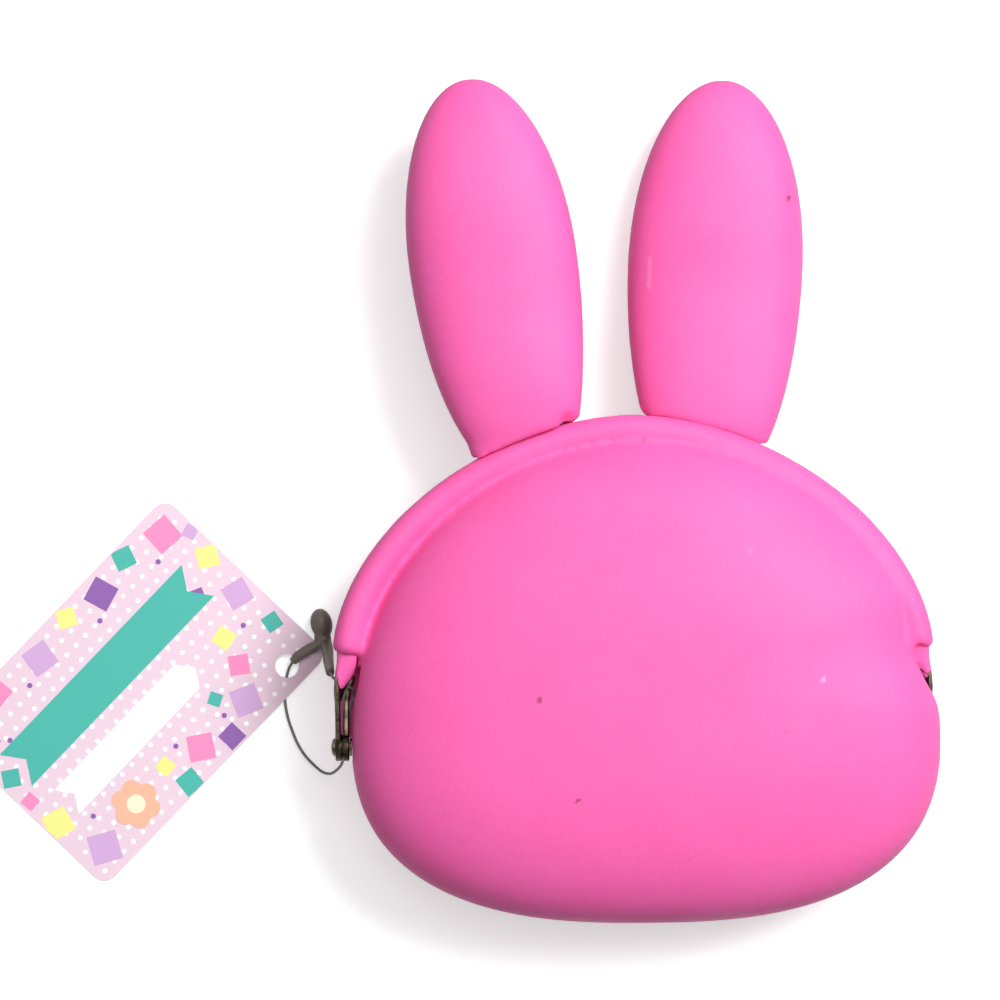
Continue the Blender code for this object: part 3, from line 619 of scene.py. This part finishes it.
def rim_frame(turn, z):
    """The bead's centre at a turn, with the directions along and out of the arch."""
    nudge = math.pi / RIM_STEPS
    before = max(turn - nudge, 0)
    after = min(turn + nudge, math.pi)
    along = (rim_point(after, BEAD_ACROSS / 2) - rim_point(before, BEAD_ACROSS / 2)).normalized()
    centre = rim_point(turn, BEAD_ACROSS / 2) + Vector((0, 0, z))
    return centre, along, along.cross(Vector((0, 0, 1)))


def rim_turn_at(x):
    """The turn at which the bead's centre line passes over a given x."""
    share = x / (RIM_HALF_WIDTH - BEAD_ACROSS / 2)
    return math.acos(signed_power(share, RIM_SQUARENESS / 2))


def bead(side, grow=0.0):
    """The rolled bead of one half, bluntly rounded at both ends."""
    z = MIDDLE_Z + side * BEAD_Z
    bends = [math.pi / 2 * step / (BEAD_END_STEPS + 1) for step in range(1, BEAD_END_STEPS + 1)]
    first, last = BEAD_FOOT_TURN, math.pi - BEAD_FOOT_TURN
    stations = [(first, -math.sin(bend), math.cos(bend)) for bend in reversed(bends)]
    stations += [(first + (last - first) * step / RIM_STEPS, 0, 1) for step in range(RIM_STEPS + 1)]
    stations += [(last, math.sin(bend), math.cos(bend)) for bend in bends]
    angles = [2 * math.pi * step / BEAD_SIDES for step in range(BEAD_SIDES)]
    rings = []
    for turn, past, share in stations:
        centre, along, out = rim_frame(turn, z)
        centre += along * past * (BEAD_END_REACH + grow)
        across = out * (BEAD_ACROSS / 2 + grow) * share
        deep = Vector((0, 0, (BEAD_DEEP / 2 + grow) * share))
        rings.append([centre + across * math.cos(angle) + deep * math.sin(angle) for angle in angles])
    return loft("bead", rings)


def frame_room(node_name):
    """The room round one half of the frame, from a swollen copy of its solid."""
    source = frame["nodes"][node_name]
    copy = source.copy()
    copy.data = source.data.copy()
    copy.parent = None
    bpy.context.scene.collection.objects.link(copy)
    copy.matrix_world = source.matrix_world
    settle(copy)
    apply(copy, "WELD", merge_threshold=WELD_GAP)
    apply(copy, "DISPLACE", strength=LEG_ROOM, mid_level=0.0)
    return copy


def leg_place(hand, share, side=1, eye_x=INNER_EYE_X):
    """A place down a leg, which turns edge-on and spreads to its eye on the way."""
    foot = RIM_HALF_WIDTH - BEAD_ACROSS / 2
    x = foot + (eye_x - foot) * ease(share / LEG_SPREAD_SHARE)
    z = MIDDLE_Z + side * BEAD_Z * (1 - share)
    turn = math.pi / 2 * ease(share / LEG_TWIST_SHARE)
    wide = Vector((hand * math.cos(turn), 0, math.sin(turn)))
    thick = Vector((-hand * math.sin(turn), 0, math.cos(turn)))
    return Vector((hand * x, RIM_FOOT_Y * (1 - share), z)), wide, thick


def sheath(hand, side):
    """The tongue of silicone that runs from a bead's end a little way down its leg."""
    eye_x = OUTER_EYE_X if side > 0 else INNER_EYE_X
    mirror = Vector((1, 1, side))
    angles = [2 * math.pi * corner / BEAD_SIDES for corner in range(BEAD_SIDES)]
    rings = []
    for step in range(LEG_STEPS + 1):
        share = SHEATH_SHARE * (step / LEG_STEPS * (1 + SHEATH_ROOT) - SHEATH_ROOT)
        centre, wide, thick = leg_place(hand, share, side, eye_x)
        slim = math.sqrt(1 - (max(share, 0) / SHEATH_SHARE * SHEATH_POINT) ** SHEATH_TAPER)
        half_wide = (STRIP_WIDE / 2 + SHEATH_SKIN) * slim
        half_thick = (STRIP_THICK / 2 + 2 * SHEATH_SKIN) * slim
        ring = []
        for turn in angles:
            a = signed_power(math.cos(turn), SHEATH_SQUARENESS) * half_wide
            b = signed_power(math.sin(turn), SHEATH_SQUARENESS) * half_thick
            ring.append(centre + (wide * a + thick * b) * mirror)
        rings.append(ring)
    return loft("sheath", rings)


def hinge_lip():
    """The lip of the far wall that backs the legs on the left."""
    low = (-HINGE_INNER_X - LIP_PROUD, LIP_BOTTOM, MIDDLE_Z - LIP_DEEP - LIP_THICK)
    high = (-HINGE_INNER_X + WALL, RIM_FOOT_Y + BEAD_END_REACH, MIDDLE_Z - LIP_DEEP)
    return box(low, high)


def outside_x(hand):
    """A plane that lies clear outside the body on one hand."""
    return hand * (BODY_HALF_WIDTH + DOME_SHIFT + OVERRUN)


def hinge_backing(hand):
    """The block of silicone that backs the space beside a hinge."""
    near = hand * (HINGE_INNER_X - HINGE_ROOM - WALL)
    low_x, high_x = sorted((near, outside_x(hand)))
    deep = BEAD_Z + STRIP_WIDE / 2
    bottom = -(EYE_RADIUS + HINGE_ROOM + WALL)
    return box((low_x, bottom, MIDDLE_Z - deep), (high_x, RIM_FOOT_Y, MIDDLE_Z + deep))


def knuckle(hand, side):
    """The pressed collar round an eye, which closes the space to its neighbour."""
    middle_x = (INNER_EYE_X + OUTER_EYE_X) / 2
    eye_x = OUTER_EYE_X if side > 0 else INNER_EYE_X
    far_x = eye_x + side * (STRIP_THICK / 2 + KNUCKLE_SKIN)
    near_x = middle_x + side * KNUCKLE_GAP / 2
    made = rod((hand * near_x, 0, MIDDLE_Z), (hand * far_x, 0, MIDDLE_Z), KNUCKLE_RADIUS)
    apply(made, "BEVEL", width=KNUCKLE_EDGE, segments=3, limit_method="ANGLE")
    smooth(made)
    return made


def side_recess(hand):
    """The space beside a hinge for both pairs of legs and the eyes, open to the outside."""
    inner = (hand * (HINGE_INNER_X - HINGE_ROOM), 0, MIDDLE_Z)
    space = rod(inner, (outside_x(hand), 0, MIDDLE_Z), EYE_RADIUS + HINGE_ROOM)
    top_share = (BEAD_END_REACH + STRIP_FIT) / RIM_FOOT_Y
    rings = []
    for step in range(LEG_STEPS + 1):
        centre, wide, thick = leg_place(hand, top_share + (1 - top_share) * step / LEG_STEPS)
        in_x = abs(wide.x) * STRIP_WIDE / 2 + abs(thick.x) * STRIP_THICK / 2 + LEG_CLEARANCE
        up_z = abs(wide.z) * STRIP_WIDE / 2 + abs(thick.z) * STRIP_THICK / 2 + LEG_CLEARANCE
        near = Vector((centre.x - hand * in_x, centre.y, MIDDLE_Z))
        far = Vector((outside_x(hand), centre.y, MIDDLE_Z))
        rise = Vector((0, 0, centre.z - MIDDLE_Z + up_z))
        rings.append([near - rise, far - rise, far + rise, near + rise])
    join(space, loft("leg_space", rings))
    return space


def rim_wedge():
    """The gap that the pinched wall leaves under the right end of the near bead."""
    corners = [(x / MM_PER_METRE, y / MM_PER_METRE) for x, y in WEDGE]
    return prism("wedge", corners, MIDDLE_Z, BODY_DEPTH + OVERRUN)


def body_skin(name, side):
    """One half of the moulding: its wall and bead blended, hollowed, and cleared for the frame."""
    skin = dome(0)
    join(skin, bead(side))
    if side > 0:
        cut(skin, rim_wedge())
    else:
        join(skin, hinge_lip())
    reach = BODY_HALF_WIDTH + DOME_SHIFT + OVERRUN
    top = RIM_TOP_Y + OVERRUN
    # Only this half and a little past it is remeshed, so that the rim of the cut stays clean.
    past = MIDDLE_Z - side * 2 * WALL
    beyond = -OVERRUN if side > 0 else BODY_DEPTH + OVERRUN
    cut(skin, box((-reach, -reach, min(past, beyond)), (reach, top, max(past, beyond))))
    apply(skin, "REMESH", mode="VOXEL", voxel_size=VOXEL)
    apply(skin, "SMOOTH", factor=0.5, iterations=SMOOTHINGS)
    room = dome(WALL)
    cut(room, bead(side))
    for hand in (1, -1):
        cut(room, hinge_backing(hand))
    cut(skin, room)
    # The other half's side goes, and above the hinge's level the slit of the closed mouth too.
    cut(skin, box((-reach, -reach, min(MIDDLE_Z, beyond)), (reach, top, max(MIDDLE_Z, beyond))))
    slit = MIDDLE_Z + side * SLIT / 2
    cut(skin, box((-reach, 0, min(slit, beyond)), (reach, top, max(slit, beyond))))
    if side < 0:
        cut(skin, box((-reach, -reach, -OVERRUN), (reach, top, 0)))
    # The recess comes before the tongue, which reaches into it.
    for hand in (1, -1):
        cut(skin, side_recess(hand))
        join(skin, sheath(hand, side))
    cut(skin, frame_room("front_frame" if side > 0 else "back_frame"))
    apply(skin, "WELD", merge_threshold=WELD_GAP)
    skin.name = name
    smooth(skin)
    return skin


# Ears


def ear_place(side):
    """An ear's base, with the directions across it and along it."""
    lean = FRONT_EAR_LEAN if side > 0 else BACK_EAR_LEAN
    base_x = EAR_SHIFT - side * EAR_SPACING / 2
    base_y = EAR_BASE_Y - (BACK_EAR_DROP if side < 0 else 0)
    turn = Matrix.Rotation(lean, 3, "Z")
    return Vector((base_x, base_y, MIDDLE_Z)), turn @ Vector((1, 0, 0)), turn @ Vector((0, 1, 0))


def ear_lift(side, up):
    """How far an ear's middle lies above the purse's middle plane at a height along it."""
    back_sag = MIDDLE_Z - EAR_HALF_THICK - BEAD_Z
    sag = FRONT_EAR_SAG if side > 0 else back_sag
    return side * BEAD_Z - sag * ease(up / EAR_BELLY)


def ear_length(side):
    """The length of an ear's sleeve."""
    return EAR_LENGTH + (BACK_EAR_REACH if side < 0 else 0)


def ear_section(side, up, inset):
    """The ring of points round an ear at a height along it."""
    base, across, along = ear_place(side)
    past_belly = max(up, 0) - EAR_BELLY
    widest = EAR_HALF_WIDE + (BACK_EAR_SWELL if side < 0 else 0)
    bend = 0
    if past_belly > 0:
        tip = ear_length(side) - EAR_BELLY - inset
        round_share = math.sqrt(max(1 - (past_belly / tip) ** 2, 0))
        half_wide = (widest - inset) * round_share
        half_thick = (EAR_HALF_THICK - inset) * round_share
    else:
        below = past_belly / EAR_BELLY
        half_wide = widest * math.sqrt(1 - (below / TAPER_WIDE_SHARE) ** 2) - inset
        half_thick = EAR_HALF_THICK * math.sqrt(1 - (below / TAPER_THICK_SHARE) ** 2) - inset
        bend = FRONT_EAR_BEND * below ** 4 if side > 0 else 0
    centre = base + along * up + across * bend + Vector((0, 0, ear_lift(side, max(up, 0))))
    power = 2 / EAR_ROUNDNESS
    ring = []
    for step in range(EAR_SIDES):
        turn = 2 * math.pi * step / EAR_SIDES
        x = signed_power(math.cos(turn), power) * half_wide
        z = signed_power(math.sin(turn), power) * half_thick
        ring.append(centre + across * x + Vector((0, 0, z)))
    return ring


def rim_plug(gap):
    """Everything below the rim's crown line, for seating the ears on it."""
    outline = [rim_point(math.pi * step / RIM_STEPS, -gap) for step in range(RIM_STEPS + 1)]
    outline += [Vector((-RIM_HALF_WIDTH - gap, 0, 0)), Vector((RIM_HALF_WIDTH + gap, 0, 0))]
    rings = [[point + Vector((0, 0, z)) for point in outline] for z in (-OVERRUN, BODY_DEPTH + OVERRUN)]
    return loft("plug", rings)


def ear_body(side, inset, top):
    """An ear's outside, or the hollow in it, up to a height."""
    tip = top - EAR_BELLY
    ups = [-EAR_OVERRUN] + [EAR_BELLY * step / EAR_STEPS for step in range(EAR_STEPS)]
    ups += [EAR_BELLY + tip * math.sin(math.pi / 2 * step / EAR_STEPS) for step in range(EAR_STEPS)]
    base, _, along = ear_place(side)
    pole = base + along * top + Vector((0, 0, ear_lift(side, top)))
    rings = [ear_section(side, up, inset) for up in ups]
    return loft("ear", rings, None, pole if inset == 0 else None)


def ear_notch():
    """The small gap at the inner corner of the left ear's base."""
    base, across, _ = ear_place(1)
    corner = base + across * EAR_HALF_WIDE * NOTCH_OUT_SHARE
    crown = rim_point(rim_turn_at(corner.x), 0)
    low = Vector((corner.x - NOTCH_WIDE / 2, crown.y - NOTCH_HIGH, MIDDLE_Z + BEAD_Z + NOTCH_LIFT))
    high = Vector((corner.x + NOTCH_WIDE / 2, crown.y + NOTCH_HIGH, BODY_DEPTH))
    return box(low, high)


def ear_skin(name, side):
    """An ear's sleeve: long, round and hollow, with its foot pressed on its bead."""
    skin = ear_body(side, 0, ear_length(side))
    cut(skin, rim_plug(-EAR_PRESS))
    cut(skin, bead(side, EAR_BEAD_GAP))
    if side > 0:
        cut(skin, ear_notch())
    apply(skin, "REMESH", mode="VOXEL", voxel_size=VOXEL)
    apply(skin, "SMOOTH", factor=0.5, iterations=SMOOTHINGS)
    cut(skin, ear_body(side, EAR_WALL, EAR_HOLLOW))
    skin.name = name
    smooth(skin)
    return skin


# Tag, loop and lock


def tag_place():
    """The tag's place and tilt, from its own flat plane to the table."""
    lift = (TAG_FAR_LIFT + TAG_NEAR_LIFT) / 2
    tilt = math.asin((TAG_NEAR_LIFT - TAG_FAR_LIFT) / TAG_LONG)
    turn = Matrix.Rotation(TAG_TURN, 4, "Z") @ Matrix.Rotation(-tilt, 4, "Y")
    return Matrix.Translation((*TAG_CENTRE, lift)) @ turn


def disc(u, v, radius, sides=PRINT_SIDES):
    """The corners of a round spot on the card."""
    turns = [2 * math.pi * step / sides for step in range(sides)]
    return [(u + math.cos(turn) * radius, v + math.sin(turn) * radius) for turn in turns]


def square(u, v, side, degrees):
    """The corners of a turned square on the card, kept within its edges."""
    turns = [math.radians(degrees + 90 * step) for step in range(4)]
    reach = side / math.sqrt(2)
    corners = [(u + math.cos(turn) * reach, v + math.sin(turn) * reach) for turn in turns]
    for axis, limit in ((0, TAG_LONG / 2 - PRINT_MARGIN), (1, TAG_WIDE / 2 - PRINT_MARGIN)):
        for sign in (1, -1):
            corners = clipped(corners, axis, sign, limit)
    return corners


def clipped(corners, axis, sign, limit):
    """The part of a flat shape on the near side of a straight edge."""
    kept = []
    for start, end in zip(corners, corners[1:] + corners[:1]):
        inside = sign * start[axis] <= limit
        if inside:
            kept.append(start)
        if inside != (sign * end[axis] <= limit):
            share = (sign * limit - start[axis]) / (end[axis] - start[axis])
            kept.append(tuple(a + (b - a) * share for a, b in zip(start, end)))
    return kept


def card_outline():
    """The card's outline with its round corners."""
    corners = []
    for quarter, (u, v) in enumerate(((1, 1), (-1, 1), (-1, -1), (1, -1))):
        middle_u = u * (TAG_LONG / 2 - TAG_CORNER)
        middle_v = v * (TAG_WIDE / 2 - TAG_CORNER)
        for step in range(TAG_CORNER_STEPS + 1):
            turn = math.pi / 2 * (quarter + step / TAG_CORNER_STEPS)
            u_reach = math.cos(turn) * TAG_CORNER
            v_reach = math.sin(turn) * TAG_CORNER
            corners.append((middle_u + u_reach, middle_v + v_reach))
    return corners


def hole_place():
    """The middle of the punched hole on the card."""
    return TAG_LONG / 2 - TAG_HOLE_TO_END, TAG_HOLE_TO_SIDE - TAG_WIDE / 2


def print_layers():
    """Every printed shape as its ink, its layer over the pale ground, and its corners."""
    hole_u, hole_v = hole_place()
    shapes = []
    rows = int(TAG_WIDE / DOT_PITCH)
    for row in range(rows):
        v = (row - (rows - 1) / 2) * DOT_PITCH
        for column in range(-DOT_COLUMNS, DOT_COLUMNS + 1):
            u = (column + (row % 2) / 2) * DOT_PITCH
            clear = abs(u) < TAG_LONG / 2 - 2 * DOT_RADIUS
            if clear and math.hypot(u - hole_u, v - hole_v) > TAG_HOLE_RADIUS + 2 * DOT_RADIUS:
                shapes.append(("white", 1, disc(u, v, DOT_RADIUS, DOT_SIDES)))
    for u, v, side, degrees, ink in SCRAPS:
        shapes.append((ink, 2, square(u * MM, v * MM, side * MM, degrees)))
    for u, v in BUTTONS:
        shapes.append(("purple", 3, disc(u * MM, v * MM, BUTTON_RADIUS * MM)))
    for ink, corners in BANDS:
        shapes.append((ink, 4, [(u * MM, v * MM) for u, v in corners]))
    # Neighbouring petals overlap, so they lie on two layers.
    for petal in range(PETALS):
        turn = 2 * math.pi / PETALS * petal
        u = FLOWER[0] + PETAL_OUT * math.cos(turn)
        v = FLOWER[1] + PETAL_OUT * math.sin(turn)
        shapes.append(("peach", 5 + petal % 2, disc(u * MM, v * MM, PETAL_RADIUS * MM)))
    shapes.append(("cream", 7, disc(FLOWER[0] * MM, FLOWER[1] * MM, HEART_RADIUS * MM)))
    return shapes


def swing_tag():
    """The card: white stock, a pale printed ground and the scattered shapes printed over it."""
    face = TAG_THICK / 2
    card = prism("printed_card", card_outline(), -face, face)
    hole = (*hole_place(), 0)
    reach = Vector((0, 0, OVERRUN))
    # Offset ink has a low satin sheen, and the uncoated back and edges have none.
    inks = {name: plain("ink_" + name, colour, 0.42) for name, colour in INKS.items()}
    paint(card, plain("card_stock", "FBFAF7", 0.7))
    ground = prism("ground", card_outline(), face, face + INK_THICK)
    paint(ground, inks["ground"])
    for piece in (card, ground):
        cut(piece, rod(Vector(hole) - reach, Vector(hole) + reach, TAG_HOLE_RADIUS))
    pieces = [ground]
    for ink, layer, corners in print_layers():
        low = face + INK_THICK * layer
        piece = prism("print", corners, low, low + INK_THICK)
        paint(piece, inks[ink])
        pieces.append(piece)
    only(card)
    for piece in pieces:
        piece.select_set(True)
    bpy.ops.object.join()
    card.matrix_world = tag_place()
    settle(card)
    return card


def arm(points, radii):
    """A tapering arm of the lock along its end of the strand."""
    rings = []
    for step, (point, radius) in enumerate(zip(points, radii)):
        before = points[max(step - 1, 0)]
        after = points[min(step + 1, len(points) - 1)]
        turn = (after - before).to_track_quat("Z", "Y")
        angles = [2 * math.pi * corner / ARM_SIDES for corner in range(ARM_SIDES)]
        rings.append([point + turn @ Vector((math.cos(a), math.sin(a), 0)) * radius for a in angles])
    return loft("arm", rings)


def loop_lock():
    """The moulded lock: a knob with an arm over each end of the strand."""
    bpy.ops.object.select_all(action="DESELECT")
    bpy.ops.mesh.primitive_uv_sphere_add(segments=32, ring_count=20, radius=1)
    knob = bpy.context.object
    knob.scale = (LOCK_LONG / 2, LOCK_RADIUS, LOCK_RADIUS)
    knob.rotation_euler.z = LOCK_TURN
    knob.location = LOCK_PLACE
    settle(knob)
    route = [Vector(point) for point in LOOP_ROUTE]
    for points, radii in ((route, FIRST_ARM_RADII), (route[::-1], LAST_ARM_RADII)):
        join(knob, arm([LOCK_PLACE] + points[: len(radii) - 1], radii))
    apply(knob, "REMESH", mode="VOXEL", voxel_size=LOCK_VOXEL)
    apply(knob, "SMOOTH", factor=0.5, iterations=LOCK_SMOOTHINGS)
    knob.name = "lock_with_arms"
    smooth(knob)
    return knob


def tag_loop():
    """The nylon strand, one smooth curve through the route."""
    curve = bpy.data.curves.new("nylon_loop", "CURVE")
    curve.dimensions = "3D"
    curve.bevel_depth = LOOP_THICK / 2
    curve.bevel_resolution = 4
    curve.resolution_u = 8
    curve.use_fill_caps = True
    spline = curve.splines.new("BEZIER")
    spline.bezier_points.add(len(LOOP_ROUTE) - 1)
    for target, point in zip(spline.bezier_points, LOOP_ROUTE):
        target.co = point
        target.handle_left_type = target.handle_right_type = "AUTO"
    strand = bpy.data.objects.new("nylon_loop", curve)
    bpy.context.scene.collection.objects.link(strand)
    return strand


# Stage


def seen_straight(tree):
    """One where the camera sees a thing directly, mirrored or through glass, and else nought."""
    path = node(tree, "ShaderNodeLightPath")
    most = path.outputs["Is Camera Ray"]
    for name in ("Is Glossy Ray", "Is Transmission Ray"):
        larger = node(tree, "ShaderNodeMath", {"operation": "MAXIMUM"}, i0=most, i1=path.outputs[name])
        most = larger.outputs[0]
    return most


def floor():
    """A plain white floor that keeps the purse's shadow."""
    bpy.ops.object.select_all(action="DESELECT")
    bpy.ops.mesh.primitive_plane_add(size=FLOOR_SIZE)
    ground = bpy.context.object
    ground.name = "floor"
    # Matt paper, white to the camera; it throws back only a soft grey on the purse.
    made, tree, shader, _ = new_material("white_paper_sweep", "F4F4F4", 0.9)
    seen = seen_straight(tree)
    tree.links.new(mixed(tree, seen, "8C8C8C", "F4F4F4"), shader.inputs["Base Color"])
    share = node(tree, "ShaderNodeMapRange", {"To Min": 0.0, "To Max": 0.5}, Value=seen)
    shader.inputs["Emission Color"].default_value = (1, 1, 1, 1)
    tree.links.new(share.outputs["Result"], shader.inputs["Emission Strength"])
    ground.data.materials.append(made)


def world():
    """White where the camera looks, and a soft grey that fills the shadows."""
    made = bpy.data.worlds.new("studio")
    bpy.context.scene.world = made
    made.use_nodes = True
    tree = made.node_tree
    back = tree.nodes["Background"]
    span = {"To Min": WORLD_FILL, "To Max": 1.0}
    fill = node(tree, "ShaderNodeMapRange", span, Value=seen_straight(tree))
    tree.links.new(fill.outputs["Result"], back.inputs["Strength"])
    back.inputs["Color"].default_value = (1, 1, 1, 1)


def lamp(name, place, size, power):
    """A soft square lamp aimed at the purse."""
    light = bpy.data.lights.new(name, "AREA")
    light.size = size
    light.energy = power
    made = bpy.data.objects.new(name, light)
    made.location = place
    aim = Vector(LAMP_TARGET) - Vector(place)
    made.rotation_euler = aim.to_track_quat("-Z", "Y").to_euler()
    bpy.context.scene.collection.objects.link(made)


def stage():
    """Floor, world and lamps, with the main light from the upper right."""
    floor()
    world()
    lamp("key", KEY_PLACE, KEY_SIZE, KEY_POWER)
    lamp("fill", FILL_PLACE, FILL_SIZE, FILL_POWER)
    bpy.context.scene.view_settings.view_transform = "Standard"


# Finish and assembly


def paint(piece, material):
    """Give a piece one finish."""
    piece.data.materials.clear()
    piece.data.materials.append(material)


def dress(piece, material, body, slot, *nodes):
    """Give a piece its finish, its body and the nodes that it stands for."""
    paint(piece, material)
    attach(piece, body)
    if nodes:
        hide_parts(*nodes)


def tag_set():
    """The strand, its lock and the card that hangs on it."""
    strand = tag_loop()
    # Drawn nylon, greyed with use: smooth, with a thin line of shine.
    nylon = plain("clear_grey_nylon", "74766F", 0.35)
    dress(strand, nylon, STAYS, "nylon", "tag_loop")
    lock = loop_lock()
    # Moulded plastic: a dull satin grey.
    plastic = plain("moulded_grey_plastic", "6B6259", 0.45)
    dress(lock, plastic, STAYS, "lock_plastic", "loop_lock")
    # The card brings its own stock and inks.
    card = swing_tag()
    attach(card, STAYS)
    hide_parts("swing_tag")


def rubber_set():
    """The two halves of the body, and both ears."""
    rubber = silicone()
    near = body_skin("near_skin", 1)
    paint(near, rubber)
    fleck(near)
    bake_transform(near)
    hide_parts("front_flap")
    dress(body_skin("far_skin", -1), rubber, STAYS, "silicone", "pouch")
    for name, side, body, solid in (
        ("left_ear_skin", 1, OPENS, "ear_sleeve_left"),
        ("right_ear_skin", -1, STAYS, "ear_sleeve_right"),
    ):
        skin = ear_skin(name, side)
        fleck(skin)
        dress(skin, rubber, body, "silicone", solid)


def hinge_set():
    """The collars round the hinges' eyes, and the finish of every hard piece of the frame."""
    # Painted shade: the plating is darkened to a dull warm grey for the dark room that it reflects; its
    # soft glint comes from its roughness.
    steel = plated_steel("nickel_plated_steel", "6A5F51", "352D25", 0.28)
    # At the hinges a darker copy of the steel is painted shade, standing in for the shadowed hinge and
    # the dark room that it reflects; it still glints.
    shaded_steel = plated_steel("shaded_dark_steel", "3E352B", "1E1914", 0.2)
    for hand, place in ((1, "right"), (-1, "left")):
        for side, body, half in ((1, OPENS, "near"), (-1, STAYS, "far")):
            made = knuckle(hand, side)
            made.name = f"{half}_{place}_knuckle"
            dress(made, shaded_steel, body, "frame_steel")
    # Moulded plastic: plain white, with a soft sheen.
    core = plain("moulded_white_plastic", "EFEDE8", 0.4)
    for name, own in frame["nodes"].items():
        if name.startswith(("front_frame", "back_frame", "hinge_", "front_clasp", "back_clasp")):
            paint(own, steel)
        elif name.startswith("ear_core"):
            paint(own, core)


def main():
    """Build the looks round the frame."""
    camera()
    tag_set()
    rubber_set()
    hinge_set()
    stage()


main()
